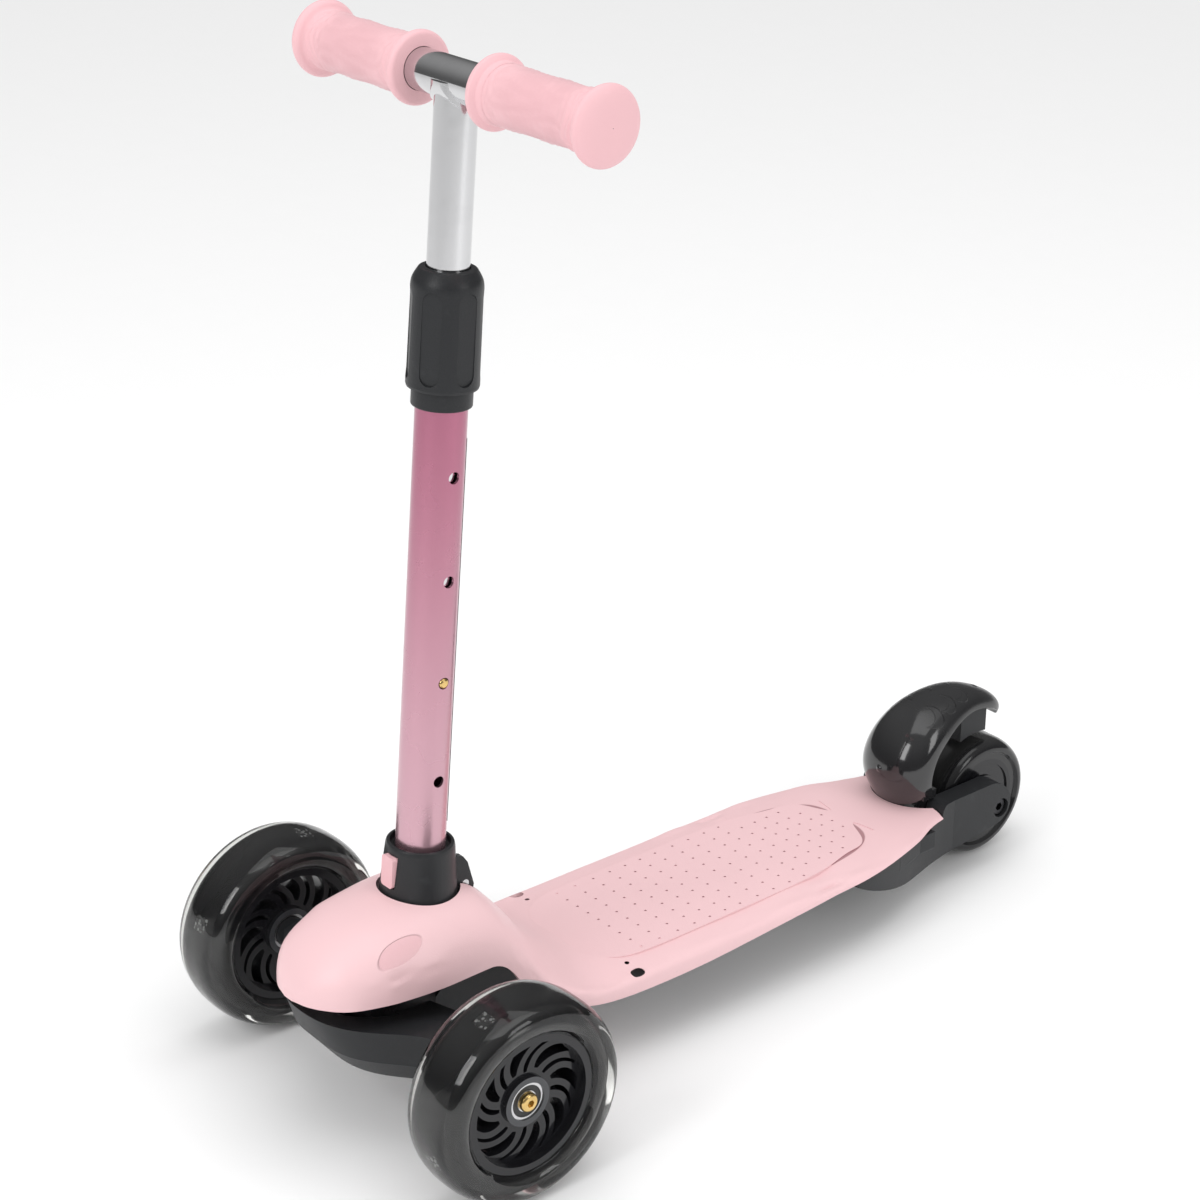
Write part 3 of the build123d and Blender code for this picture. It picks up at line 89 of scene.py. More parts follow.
def step(tree, value, low, high):
    """0 below low, 1 above high, smooth between; low may be above high."""
    node = tree.nodes.new("ShaderNodeMapRange")
    node.interpolation_type = "SMOOTHSTEP"
    node.clamp = True
    flip = low > high
    wire(tree, value, node.inputs["Value"])
    node.inputs["From Min"].default_value = high if flip else low
    node.inputs["From Max"].default_value = low if flip else high
    node.inputs["To Min"].default_value = 1.0 if flip else 0.0
    node.inputs["To Max"].default_value = 0.0 if flip else 1.0
    return node.outputs["Result"]


def blend_colour(tree, mask, a, b):
    """Colour a where the mask is 0 and b where it is 1."""
    node = tree.nodes.new("ShaderNodeMix")
    node.data_type = "RGBA"
    wire(tree, mask, node.inputs["Factor"])
    for socket, value in ((node.inputs[6], a), (node.inputs[7], b)):
        if isinstance(value, tuple):
            socket.default_value = (*value, 1.0)
        else:
            wire(tree, value, socket)
    return node.outputs[2]


def where(tree):
    """Object coordinates, whole and as separate x, y and z."""
    place = tree.nodes.new("ShaderNodeTexCoord")
    parts = tree.nodes.new("ShaderNodeSeparateXYZ")
    wire(tree, place.outputs["Object"], parts.inputs[0])
    return place.outputs["Object"], parts.outputs[0], parts.outputs[1], parts.outputs[2]


def distance_from_line(tree, a, b, centre_a, centre_b):
    """Distance from an axis through (centre_a, centre_b) in the plane of sockets a and b."""
    da = arith(tree, "SUBTRACT", a, centre_a)
    db = arith(tree, "SUBTRACT", b, centre_b)
    total = arith(tree, "ADD", arith(tree, "MULTIPLY", da, da), arith(tree, "MULTIPLY", db, db))
    return arith(tree, "SQRT", total)


def new_group(name, inputs, outputs):
    """An empty shader group with named sockets: (name, type, default)."""
    group = bpy.data.node_groups.new(name, "ShaderNodeTree")
    for label, kind, value in inputs:
        socket = group.interface.new_socket(label, in_out="INPUT", socket_type=kind)
        if value is not None:
            socket.default_value = value
    for label, kind in outputs:
        group.interface.new_socket(label, in_out="OUTPUT", socket_type=kind)
    return group, group.nodes.new("NodeGroupInput"), group.nodes.new("NodeGroupOutput")


def moulded_grain_group():
    """Fine pebbled skin of moulded plastic: small bumps, uneven gloss and a faint mottle.

    Height is cellular noise at the grain's scale; gloss and tone follow a
    slow noise across the piece."""
    group, into, out = new_group(
        "moulded grain",
        (
            ("Scale", "NodeSocketFloat", 1500.0),
            ("Depth", "NodeSocketFloat", 0.25),
            ("Roughness", "NodeSocketFloat", 0.5),
            ("Gloss Spread", "NodeSocketFloat", 0.08),
            ("Base", "NodeSocketColor", (0.5, 0.5, 0.5, 1.0)),
            ("Mottle", "NodeSocketFloat", 0.04),
        ),
        (("Colour", "NodeSocketColor"), ("Roughness", "NodeSocketFloat"), ("Normal", "NodeSocketVector")),
    )
    place = group.nodes.new("ShaderNodeTexCoord")
    pebble = group.nodes.new("ShaderNodeTexVoronoi")
    pebble.feature = "SMOOTH_F1"
    wire(group, place.outputs["Object"], pebble.inputs["Vector"])
    wire(group, into.outputs["Scale"], pebble.inputs["Scale"])
    cloud = group.nodes.new("ShaderNodeTexNoise")
    cloud.inputs["Scale"].default_value = 26.0
    cloud.inputs["Detail"].default_value = 5.0
    wire(group, place.outputs["Object"], cloud.inputs["Vector"])
    bump = group.nodes.new("ShaderNodeBump")
    bump.inputs["Distance"].default_value = 0.0003
    wire(group, into.outputs["Depth"], bump.inputs["Strength"])
    wire(group, pebble.outputs["Distance"], bump.inputs["Height"])
    wire(group, bump.outputs["Normal"], out.inputs["Normal"])
    drift = arith(group, "SUBTRACT", cloud.outputs["Fac"], 0.5)
    swing = arith(group, "MULTIPLY", drift, into.outputs["Gloss Spread"])
    wire(group, arith(group, "ADD", into.outputs["Roughness"], swing), out.inputs["Roughness"])
    tone = arith(group, "ADD", arith(group, "MULTIPLY", drift, into.outputs["Mottle"]), 1.0)
    shade = group.nodes.new("ShaderNodeVectorMath")
    shade.operation = "SCALE"
    wire(group, into.outputs["Base"], shade.inputs[0])
    wire(group, tone, shade.inputs["Scale"])
    wire(group, shade.outputs[0], out.inputs["Colour"])
    return group


moulded_grain = moulded_grain_group()


def use_grain(tree, shader, base, roughness, scale=1500.0, depth=0.25, spread=0.08, mottle=0.06):
    """Places the moulded grain in a material; base is a colour or a socket."""
    grain = tree.nodes.new("ShaderNodeGroup")
    grain.node_tree = moulded_grain
    for label, value in (("Scale", scale), ("Depth", depth), ("Gloss Spread", spread), ("Mottle", mottle)):
        grain.inputs[label].default_value = value
    for label, value in (("Base", base), ("Roughness", roughness)):
        if isinstance(value, tuple):
            grain.inputs[label].default_value = (*value, 1.0)
        elif isinstance(value, float):
            grain.inputs[label].default_value = value
        else:
            wire(tree, value, grain.inputs[label])
    wire(tree, grain.outputs["Colour"], shader.inputs["Base Color"])
    wire(tree, grain.outputs["Roughness"], shader.inputs["Roughness"])
    wire(tree, grain.outputs["Normal"], shader.inputs["Normal"])
    return grain


def wheel_core_material():
    """Glossy black plastic with the boss ring in plain grey."""
    material, tree, shader = blank_material("glossy black wheel core", Specular_IOR_Level=0.35, Coat_Weight=0.15, Coat_Roughness=0.06)
    _, x, y, z = where(tree)
    r = distance_from_line(tree, y, z, AXLE_Y, FRONT_R)
    grey = step(tree, r, 0.0146, 0.0142)
    colour = blend_colour(tree, grey, (0.012, 0.012, 0.014), (0.055, 0.057, 0.062))
    gloss = arith(tree, "MULTIPLY_ADD", grey, 0.2)
    gloss.node.inputs[2].default_value = 0.16
    use_grain(tree, shader, colour, gloss, scale=500.0, depth=0.004, spread=0.10)
    return material


core_finish = wheel_core_material()
for hand in ("left", "right"):
    dress(f"wheel_core_{hand}", core_finish)


# ---------------------------------------------------------------- front wheels: light modules
# Small modules with clear epoxy faces sit in pockets of the core, under the clear tread.
# A coil in each one is woken by the magnets on the axle's spacer.

def light_module_material():
    material, tree, shader = blank_material("light module", Coat_Weight=0.6, Coat_Roughness=0.03)
    whole, x, y, z = where(tree)
    dots = tree.nodes.new("ShaderNodeTexVoronoi")
    dots.inputs["Scale"].default_value = 420.0
    wire(tree, whole, dots.inputs["Vector"])
    # pale dots on the dark face: chips, and also painted glints
    chip_and_glint = step(tree, dots.outputs["Distance"], 0.42, 0.36)
    colour = blend_colour(tree, chip_and_glint, (0.020, 0.021, 0.023), (0.30, 0.31, 0.31))
    use_grain(tree, shader, colour, 0.25, scale=700.0, depth=0.05)
    return material


light_finish = light_module_material()
for hand in ("left", "right"):
    dress(f"wheel_lights_{hand}", light_finish)


# ---------------------------------------------------------------- front wheels: clear treads
# The tread is clear polyurethane cast round the core, so the black band and the light
# modules show through it. Its sides are round and its running face is gently crowned.

TREAD_HALF = 0.0206
CORE_HALF = 0.0155
CORE_R = 0.0525
TREAD_LIP_R = 0.041


def eased_curve(points, per_span):
    """Points of a smooth curve through the given ones.

    Between each pair it is a cubic whose end slopes are half the chord of the neighbours."""
    p = np.array(points, float)
    ends = np.vstack((2 * p[0] - p[1], p, 2 * p[-1] - p[-2]))
    t = np.linspace(0, 1, per_span, endpoint=False)[:, None, None]
    a, b, c, d = ends[:-3], ends[1:-2], ends[2:-1], ends[3:]
    spans = 0.5 * (2 * b + (c - a) * t + (2 * a - 5 * b + 4 * c - d) * t**2 + (3 * b - a - 3 * c + d) * t**3)
    return np.vstack((spans.transpose(1, 0, 2).reshape(-1, p.shape[1]), p[-1:]))


def grid_mesh(name, grid, around=True, along=False):
    """Quads over a grid of points; it closes on itself in either direction if asked.

    Corners are (i, j), (i, j+1), (i+1, j+1), (i+1, j), and the faces are turned outward."""
    rows, columns = grid.shape[:2]
    index = np.arange(rows * columns).reshape(rows, columns)
    if around:
        index = np.hstack((index, index[:, :1]))
    if along:
        index = np.vstack((index, index[:1]))
    quads = np.stack((index[:-1, :-1], index[:-1, 1:], index[1:, 1:], index[1:, :-1]), -1).reshape(-1, 4)
    mesh = bpy.data.meshes.new(name)
    mesh.from_pydata(grid.reshape(-1, 3).tolist(), [], quads.tolist())
    work = bmesh.new()
    work.from_mesh(mesh)
    bmesh.ops.remove_doubles(work, verts=work.verts, dist=1e-6)
    bmesh.ops.recalc_face_normals(work, faces=work.faces)
    work.to_mesh(mesh)
    work.free()
    mesh.shade_smooth()
    return mesh


def turned_about_x(centre, profile, steps):
    """Grid of a profile (distance along X, radius) turned about an axis parallel to X."""
    turn = np.linspace(0, 2 * pi, steps, endpoint=False)
    x = np.repeat(profile[:, :1], steps, 1)
    y = profile[:, 1:] * np.cos(turn)
    z = profile[:, 1:] * np.sin(turn)
    return np.stack((x, y, z), -1) + np.array(centre)


def show(mesh, name, body, material, stands_for, crisp=None):
    """Puts a worked-out mesh in the scene on its body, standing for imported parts."""
    if crisp:
        mesh.set_sharp_from_angle(angle=radians(crisp))
    mesh.materials.append(material)
    piece = bpy.data.objects.new(name, mesh)
    bpy.context.scene.collection.objects.link(piece)
    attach(piece, body)
    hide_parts(*stands_for)
    return piece


def clear_tread_material():
    """Water-clear urethane with faint flow marks and fine running scuffs on the crown."""
    material, tree, shader = blank_material(
        "clear urethane", Transmission_Weight=1.0, IOR=1.45, Base_Color=(0.93, 0.93, 0.90, 1.0)
    )
    whole, x, y, z = where(tree)
    r = distance_from_line(tree, y, z, AXLE_Y, FRONT_R)
    crown = step(tree, r, 0.0575, 0.0595)
    flow = tree.nodes.new("ShaderNodeTexNoise")
    flow.inputs["Scale"].default_value = 40.0
    flow.inputs["Detail"].default_value = 0.0
    wire(tree, whole, flow.inputs["Vector"])
    scuff = arith(tree, "MULTIPLY", crown, arith(tree, "MULTIPLY", flow.outputs["Fac"], 0.12))
    wire(tree, arith(tree, "ADD", scuff, 0.03), shader.inputs["Roughness"])
    bump = tree.nodes.new("ShaderNodeBump")
    bump.inputs["Strength"].default_value = 0.06
    bump.inputs["Distance"].default_value = 0.0006
    wire(tree, flow.outputs["Fac"], bump.inputs["Height"])
    wire(tree, bump.outputs["Normal"], shader.inputs["Normal"])
    return material


tread_finish = clear_tread_material()
outside = eased_curve(
    (
        (-CORE_HALF - 0.0006, TREAD_LIP_R), (-0.0196, 0.0448), (-TREAD_HALF, 0.0500),
        (-0.0189, 0.0553), (-0.0141, 0.0582), (-0.0072, 0.0597), (0, FRONT_R), (0.0072, 0.0597),
        (0.0141, 0.0582), (0.0189, 0.0553), (TREAD_HALF, 0.0500), (0.0196, 0.0448),
        (CORE_HALF + 0.0006, TREAD_LIP_R),
    ),
    6,
)
corner = np.linspace(0, pi / 2, 9)
sunk = 0.0005  # the tread's inner wall lies this deep in the core, so that no gap shows
bend_x, bend_r, bend = CORE_HALF - 0.006 - sunk, CORE_R - 0.006 - sunk, 0.006
quarter = np.stack((bend_x + bend * np.cos(corner), bend_r + bend * np.sin(corner)), -1)
inside = np.vstack(((CORE_HALF - sunk, TREAD_LIP_R), quarter, quarter[::-1] * (-1, 1), (sunk - CORE_HALF, TREAD_LIP_R)))
for hand, sign in (("left", 1), ("right", -1)):
    profile = np.vstack((outside, inside))
    grid = turned_about_x((sign * HALF_TRACK, AXLE_Y, FRONT_R), profile, 144)
    show(grid_mesh(f"tread_{hand}", grid, along=True), f"tread_{hand}", f"wheel_{hand}", tread_finish, (f"tyre_{hand}",), 60)


# ---------------------------------------------------------------- bearings, axles and wheel screws
# Ground steel bearing rings with dark rubber shields between them; the button-head wheel
# screw is yellow-zinc plated with a hexagon socket.

def bearing_material(name, centre_y, centre_z):
    """Bright ground rings with a black shield between radius 6.1 and 9.4 mm."""
    material, tree, shader = blank_material(name)
    whole, x, y, z = where(tree)
    r = distance_from_line(tree, y, z, centre_y, centre_z)
    shield = arith(tree, "MULTIPLY", step(tree, r, 0.0060, 0.0062), step(tree, r, 0.0095, 0.0093))
    wire(tree, arith(tree, "SUBTRACT", 1.0, shield), shader.inputs["Metallic"])
    colour = blend_colour(tree, shield, (0.62, 0.62, 0.63), (0.02, 0.02, 0.02))
    gloss = arith(tree, "MULTIPLY_ADD", shield, 0.25)
    gloss.node.inputs[2].default_value = 0.2
    use_grain(tree, shader, colour, gloss, scale=2400.0, depth=0.05)
    return material


def metal_material(name, colour, roughness, brushed=0.0, tarnish=0.08):
    """Bare or plated metal: slow tarnish in the colour, handling marks in the gloss."""
    material, tree, shader = blank_material(name, Metallic=1.0)
    whole, x, y, z = where(tree)
    haze = tree.nodes.new("ShaderNodeTexNoise")
    haze.inputs["Scale"].default_value = 60.0
    haze.inputs["Detail"].default_value = 6.0
    wire(tree, whole, haze.inputs["Vector"])
    fine = tree.nodes.new("ShaderNodeTexNoise")
    fine.inputs["Scale"].default_value = 900.0
    wire(tree, whole, fine.inputs["Vector"])
    mask = step(tree, haze.outputs["Fac"], 0.45, 0.75)
    dull = tuple(c * (1 - 3 * tarnish) for c in colour)
    wire(tree, blend_colour(tree, mask, colour, dull), shader.inputs["Base Color"])
    worn = arith(tree, "MULTIPLY_ADD", mask, tarnish)
    worn.node.inputs[2].default_value = roughness
    wire(tree, worn, shader.inputs["Roughness"])
    bump = tree.nodes.new("ShaderNodeBump")
    bump.inputs["Strength"].default_value = 0.03 + brushed
    bump.inputs["Distance"].default_value = 0.0002
    wire(tree, fine.outputs["Fac"], bump.inputs["Height"])
    wire(tree, bump.outputs["Normal"], shader.inputs["Normal"])
    return material


front_bearing_finish = bearing_material("front bearing", AXLE_Y, FRONT_R)
ground_steel = metal_material("ground steel", (0.60, 0.60, 0.61), 0.24, 0.05)
dark_steel = metal_material("blackened steel", (0.06, 0.06, 0.065), 0.36, 0.08)
yellow_zinc = metal_material("yellow zinc plate", (0.80, 0.56, 0.22), 0.22, 0.04)
for hand in ("left", "right"):
    for place in ("outer", "inner"):
        dress(f"bearing_{place}_{hand}", front_bearing_finish)
    dress(f"wheel_screw_{hand}", yellow_zinc)
    dress(f"axle_sleeve_{hand}", ground_steel)
    dress(f"magnet_spacer_{hand}", dark_steel)


# ---------------------------------------------------------------- rear wheel
# A solid black urethane tyre on a black plastic core, with a bolt and sleeve nut through
# two bearings. The tyre is worn paler and duller on its crown.

REAR_Y = 0.24305
REAR_R = 0.040


def rear_tyre_material():
    material, tree, shader = blank_material("black urethane tyre", Specular_IOR_Level=0.4, Coat_Weight=0.25, Coat_Roughness=0.1)
    whole, x, y, z = where(tree)
    r = distance_from_line(tree, y, z, REAR_Y, REAR_R)
    crown = step(tree, r, 0.0385, 0.0397)
    colour = blend_colour(tree, crown, (0.011, 0.011, 0.012), (0.021, 0.021, 0.021))
    gloss = arith(tree, "MULTIPLY_ADD", crown, 0.12)
    gloss.node.inputs[2].default_value = 0.17
    use_grain(tree, shader, colour, gloss, scale=1100.0, depth=0.04, spread=0.12)
    return material


dress("tyre_rear", rear_tyre_material())
dress("wheel_core_rear", core_finish)
rear_bearing_finish = bearing_material("rear bearing", REAR_Y, REAR_R)
for hand in ("left", "right"):
    dress(f"bearing_rear_{hand}", rear_bearing_finish)
for node in ("rear_axle_bolt", "rear_axle_nut"):
    dress(node, dark_steel)
dress("rear_spacer", ground_steel)


# ---------------------------------------------------------------- deck moulding
# The rider stands on a pale pink plastic moulding that rises into a hollow nose over the
# front beam. The pad has rows of small dimples, and two shallow ovals mark the nose.

DECK_FRONT = AXLE_Y
OVAL_X, OVAL_Y = 0.0345, DECK_FRONT - 0.0165


def deck_material():
    """Pale pink plastic, finely grained; painted shade darkens the dimples and the oval hollows, and scuffs run along
    the sides.
    """
    material, tree, shader = blank_material("pale pink deck plastic", Specular_IOR_Level=0.45)
    whole, x, y, z = where(tree)
    reach_x = arith(tree, "DIVIDE", arith(tree, "ABSOLUTE", x), 0.0408)
    reach_y = arith(tree, "DIVIDE", arith(tree, "ABSOLUTE", arith(tree, "SUBTRACT", y, DECK_FRONT + 0.238)), 0.110)
    inside_pad = arith(tree, "ADD", arith(tree, "POWER", reach_x, 4.0), arith(tree, "POWER", reach_y, 4.0))
    inside_pad = step(tree, inside_pad, 1.02, 0.98)
    # painted shade: the floors of the dimples, below the pad face, are coloured darker
    painted_dimple_shade = arith(tree, "MULTIPLY", inside_pad, step(tree, z, 0.05732, 0.05715))
    pink = (0.800, 0.535, 0.555)
    colour = blend_colour(tree, painted_dimple_shade, pink, (0.42, 0.22, 0.24))
    scuff_noise = tree.nodes.new("ShaderNodeTexNoise")
    scuff_noise.inputs["Scale"].default_value = 140.0
    scuff_noise.inputs["Detail"].default_value = 8.0
    wire(tree, whole, scuff_noise.inputs["Vector"])
    scuff = arith(tree, "MULTIPLY", step(tree, scuff_noise.outputs["Fac"], 0.60, 0.72), step(tree, z, 0.054, 0.049))
    colour = blend_colour(tree, arith(tree, "MULTIPLY", scuff, 0.35), colour, (0.55, 0.40, 0.41))
    # Shallow ovals: height falls inside an ellipse on either side of the nose, and painted shade darkens the colour
    # inside them
    ex = arith(tree, "DIVIDE", arith(tree, "SUBTRACT", arith(tree, "ABSOLUTE", x), OVAL_X), 0.0046)
    ey = arith(tree, "DIVIDE", arith(tree, "SUBTRACT", y, OVAL_Y), 0.0150)
    reach = arith(tree, "ADD", arith(tree, "MULTIPLY", ex, ex), arith(tree, "MULTIPLY", ey, ey))
    high = step(tree, z, 0.095, 0.100)
    oval_hollow_and_shade = arith(tree, "MULTIPLY", step(tree, reach, 1.0, 0.80), high)
    # painted shade: the colour inside the ovals is darker
    colour = blend_colour(tree, oval_hollow_and_shade, colour, (0.735, 0.455, 0.480))
    grain = use_grain(tree, shader, colour, 0.42, scale=1900.0, depth=0.16, spread=0.10, mottle=0.035)
    height = arith(tree, "SUBTRACT", 1.0, oval_hollow_and_shade)
    oval = tree.nodes.new("ShaderNodeBump")
    oval.inputs["Strength"].default_value = 0.6
    oval.inputs["Distance"].default_value = 0.0022
    wire(tree, height, oval.inputs["Height"])
    wire(tree, grain.outputs["Normal"], oval.inputs["Normal"])
    wire(tree, oval.outputs["Normal"], shader.inputs["Normal"])
    return material


dress("deck_board", deck_material())
dress("deck_screws", ground_steel)


# ---------------------------------------------------------------- under-frame and front beam
# Glass-filled black nylon mouldings with a fine spark-eroded skin: the frame under the deck
# with the fork of the rear wheel, and the beam that tilts on the slanting pivot.

def black_moulding_material(name, tone, roughness, depth):
    """Matt black nylon, rubbed slightly paler in random patches."""
    material, tree, shader = blank_material(name, Specular_IOR_Level=0.32)
    whole, x, y, z = where(tree)
    rub = tree.nodes.new("ShaderNodeTexNoise")
    rub.inputs["Scale"].default_value = 90.0
    rub.inputs["Detail"].default_value = 9.0
    wire(tree, whole, rub.inputs["Vector"])
    mask = arith(tree, "MULTIPLY", step(tree, rub.outputs["Fac"], 0.58, 0.75), 0.5)
    paler = tuple(c * 1.7 + 0.004 for c in tone)
    colour = blend_colour(tree, mask, tone, paler)
    use_grain(tree, shader, colour, roughness, scale=1700.0, depth=depth, spread=0.12, mottle=0.1)
    return material


black_nylon = black_moulding_material("black nylon moulding", (0.020, 0.021, 0.023), 0.44, 0.35)
dress("chassis", black_nylon)
dress("steering_beam", black_nylon)
for node in ("pivot_bush_upper", "pivot_bush_lower"):
    dress(node, black_nylon)
dress("pivot_bolt", dark_steel)
dress("pivot_nut", ground_steel)


# ---------------------------------------------------------------- stem foot, latch and hinge
# The stem stands in a black collar with a pale pink release button on its front and two
# ears behind it that turn on a steel pin.

def small_pink_material(name, colour, roughness):
    material, tree, shader = blank_material(name)
    use_grain(tree, shader, colour, roughness, scale=1600.0, depth=0.12)
    return material


collar_finish = black_moulding_material("black collar moulding", (0.022, 0.023, 0.025), 0.38, 0.2)
dress("stem_collar", collar_finish)
dress("fold_button", small_pink_material("pink button", (0.78, 0.47, 0.50), 0.36))
dress("fold_pin", ground_steel)
dress("latch_leaf", ground_steel)


# ---------------------------------------------------------------- stem tube
# A rose anodised aluminium tube, painted with shading that makes it deeper towards the top and
# paler towards the bottom, with height holes on the left and a thin glossy strip stuck on behind. It is drawn, cut and
# then anodised.

def rose_tube_material():
    """Anodised aluminium: painted shading deepens the colour with height; fine draw lines run along the tube."""
    material, tree, shader = blank_material("rose anodised tube", Metallic=0.85, Coat_Weight=0.25, Coat_Roughness=0.08)
    whole, x, y, z = where(tree)
    # painted shading: the colour is paler low down and deeper towards the top
    painted_height_shade = step(tree, z, 0.15, 0.42)
    colour = blend_colour(tree, painted_height_shade, (0.60, 0.36, 0.42), (0.42, 0.135, 0.215))
    stretch = tree.nodes.new("ShaderNodeMapping")
    stretch.inputs["Scale"].default_value = (2600.0, 2600.0, 14.0)
    wire(tree, whole, stretch.inputs["Vector"])
    lines = tree.nodes.new("ShaderNodeTexNoise")
    lines.inputs["Scale"].default_value = 1.0
    wire(tree, stretch.outputs[0], lines.inputs["Vector"])
    tone = blend_colour(tree, arith(tree, "MULTIPLY", lines.outputs["Fac"], 0.06), colour, (0.80, 0.60, 0.64))
    grain = use_grain(tree, shader, tone, 0.27, scale=2600.0, depth=0.05, spread=0.08)
    bump = tree.nodes.new("ShaderNodeBump")
    bump.inputs["Strength"].default_value = 0.05
    bump.inputs["Distance"].default_value = 0.0001
    wire(tree, lines.outputs["Fac"], bump.inputs["Height"])
    wire(tree, grain.outputs["Normal"], bump.inputs["Normal"])
    wire(tree, bump.outputs["Normal"], shader.inputs["Normal"])
    return material


dress("stem_tube", rose_tube_material())
dress("stem_strip", core_finish)


# ---------------------------------------------------------------- twist clamp
# A black nylon collet on top of the stem, closed on the chromed tube by a twist sleeve with
# six finger recesses.

clamp_finish = black_moulding_material("clamp moulding", (0.019, 0.020, 0.022), 0.40, 0.25)
dress("clamp_collet", clamp_finish)
dress("clamp_sleeve", clamp_finish)


# ---------------------------------------------------------------- chromed T handlebar
# Steel tubes, polished and chromed after the crossbar was welded on the height tube. A brass
# stud on a bent spring catches in the stem's height holes.

chrome = metal_material("polished chrome", (0.66, 0.66, 0.67), 0.09, 0.0, 0.03)
for node in ("height_tube", "crossbar", "bar_weld"):
    dress(node, chrome)
dress("height_bush", clamp_finish)
dress("height_stud", yellow_zinc)
dress("height_spring", ground_steel)


# ---------------------------------------------------------------- grips
# Soft pink rubber grips pushed on the crossbar: a flange at each end and fine rings with a
# slight wave along the hand part.

BAR_Y = AXLE_Y + 0.020 + 0.4575 * sin(radians(4.7))
BAR_Z = 0.115 + 0.4575 * cos(radians(4.7))


def grip_grid(sign):
    """Radius along the bar from the profile, plus rings: a cosine of the distance along it,
    shifted by a slow wave round the bar, and faded out at both ends of the hand part."""
    profile = eased_curve(
        (
            (0.0296, 0.0112), (0.0297, 0.0150), (0.0300, 0.0176), (0.0312, 0.0189), (0.0325, 0.0192),
            (0.0338, 0.0189), (0.0352, 0.0172), (0.0362, 0.0160), (0.0390, 0.0154), (0.0420, 0.0152),
            (0.0700, 0.0150), (0.1000, 0.0152), (0.1085, 0.0155), (0.1104, 0.0164), (0.1116, 0.0186),
            (0.1130, 0.0199), (0.1146, 0.0203), (0.1164, 0.0195), (0.1182, 0.0168), (0.1194, 0.0120),
            (0.1199, 0.0060), (0.1200, 0.0002),
        ),
        14,
    )
    turn = np.linspace(0, 2 * pi, 120, endpoint=False)
    x = profile[:, :1]
    fade = np.clip((x - 0.0395) / 0.003, 0, 1) * np.clip((0.1085 - x) / 0.003, 0, 1)
    wave = 0.0016 * np.sin(4 * turn)[None, :]
    ring = np.cos(2 * pi * (x + wave) / 0.0042)
    r = profile[:, 1:] + 0.00060 * fade * ring
    xs = np.repeat(x, turn.size, 1) * sign
    return np.stack((xs, BAR_Y + r * np.cos(turn), BAR_Z + r * np.sin(turn)), -1)


def grip_material():
    """Soft matt rubber, slightly darker and shinier where hands rub it."""
    material, tree, shader = blank_material("pink grip rubber", Sheen_Weight=0.15, Sheen_Roughness=0.4)
    whole, x, y, z = where(tree)
    out = arith(tree, "ABSOLUTE", x)
    held = arith(tree, "MULTIPLY", step(tree, out, 0.045, 0.06), step(tree, out, 0.106, 0.09))
    colour = blend_colour(tree, held, (0.79, 0.47, 0.50), (0.74, 0.43, 0.46))
    gloss = arith(tree, "MULTIPLY_ADD", held, -0.06)
    gloss.node.inputs[2].default_value = 0.55
    use_grain(tree, shader, colour, gloss, scale=1800.0, depth=0.2, spread=0.1)
    return material


grip_finish = grip_material()
for hand, sign in (("left", 1), ("right", -1)):
    show(grid_mesh(f"grip_skin_{hand}", grip_grid(sign)), f"grip_skin_{hand}", "bar", grip_finish, (f"grip_{hand}",))


# ---------------------------------------------------------------- rear brake
# The rider treads on a glossy black fender that presses a pad on the rear tyre. Flame
# shapes stand up on its back; a pin and a coiled spring in the fork bring it back up.

FENDER_Y, FENDER_Z = 0.22095, 0.066  # the line that the arch is bent round


def crescent_group():
    """A crescent: inside one disc and outside another of the same size, moved ahead of it."""
    group, into, out = new_group(
        "crescent",
        (
            ("Along", "NodeSocketFloat", 0.0),
            ("Across", "NodeSocketFloat", 0.0),
            ("At Along", "NodeSocketFloat", 0.0),
            ("At Across", "NodeSocketFloat", 0.0),
            ("Size", "NodeSocketFloat", 0.008),
        ),
        (("Mask", "NodeSocketFloat"),),
    )
    size = into.outputs["Size"]
    da = arith(group, "SUBTRACT", into.outputs["Along"], into.outputs["At Along"])
    dx = arith(group, "SUBTRACT", into.outputs["Across"], into.outputs["At Across"])
    shift = arith(group, "MULTIPLY", size, 0.42)
    ea, ex = arith(group, "ADD", da, shift), arith(group, "ADD", dx, shift)
    masks = []
    for along, across in ((da, dx), (ea, ex)):
        squared = arith(group, "ADD", arith(group, "MULTIPLY", along, along), arith(group, "MULTIPLY", across, across))
        reach = arith(group, "DIVIDE", arith(group, "SQRT", squared), size)
        masks.append(step(group, reach, 1.05, 0.95))
    inside = arith(group, "MULTIPLY", masks[0], arith(group, "SUBTRACT", 1.0, masks[1]))
    wire(group, inside, out.inputs["Mask"])
    return group


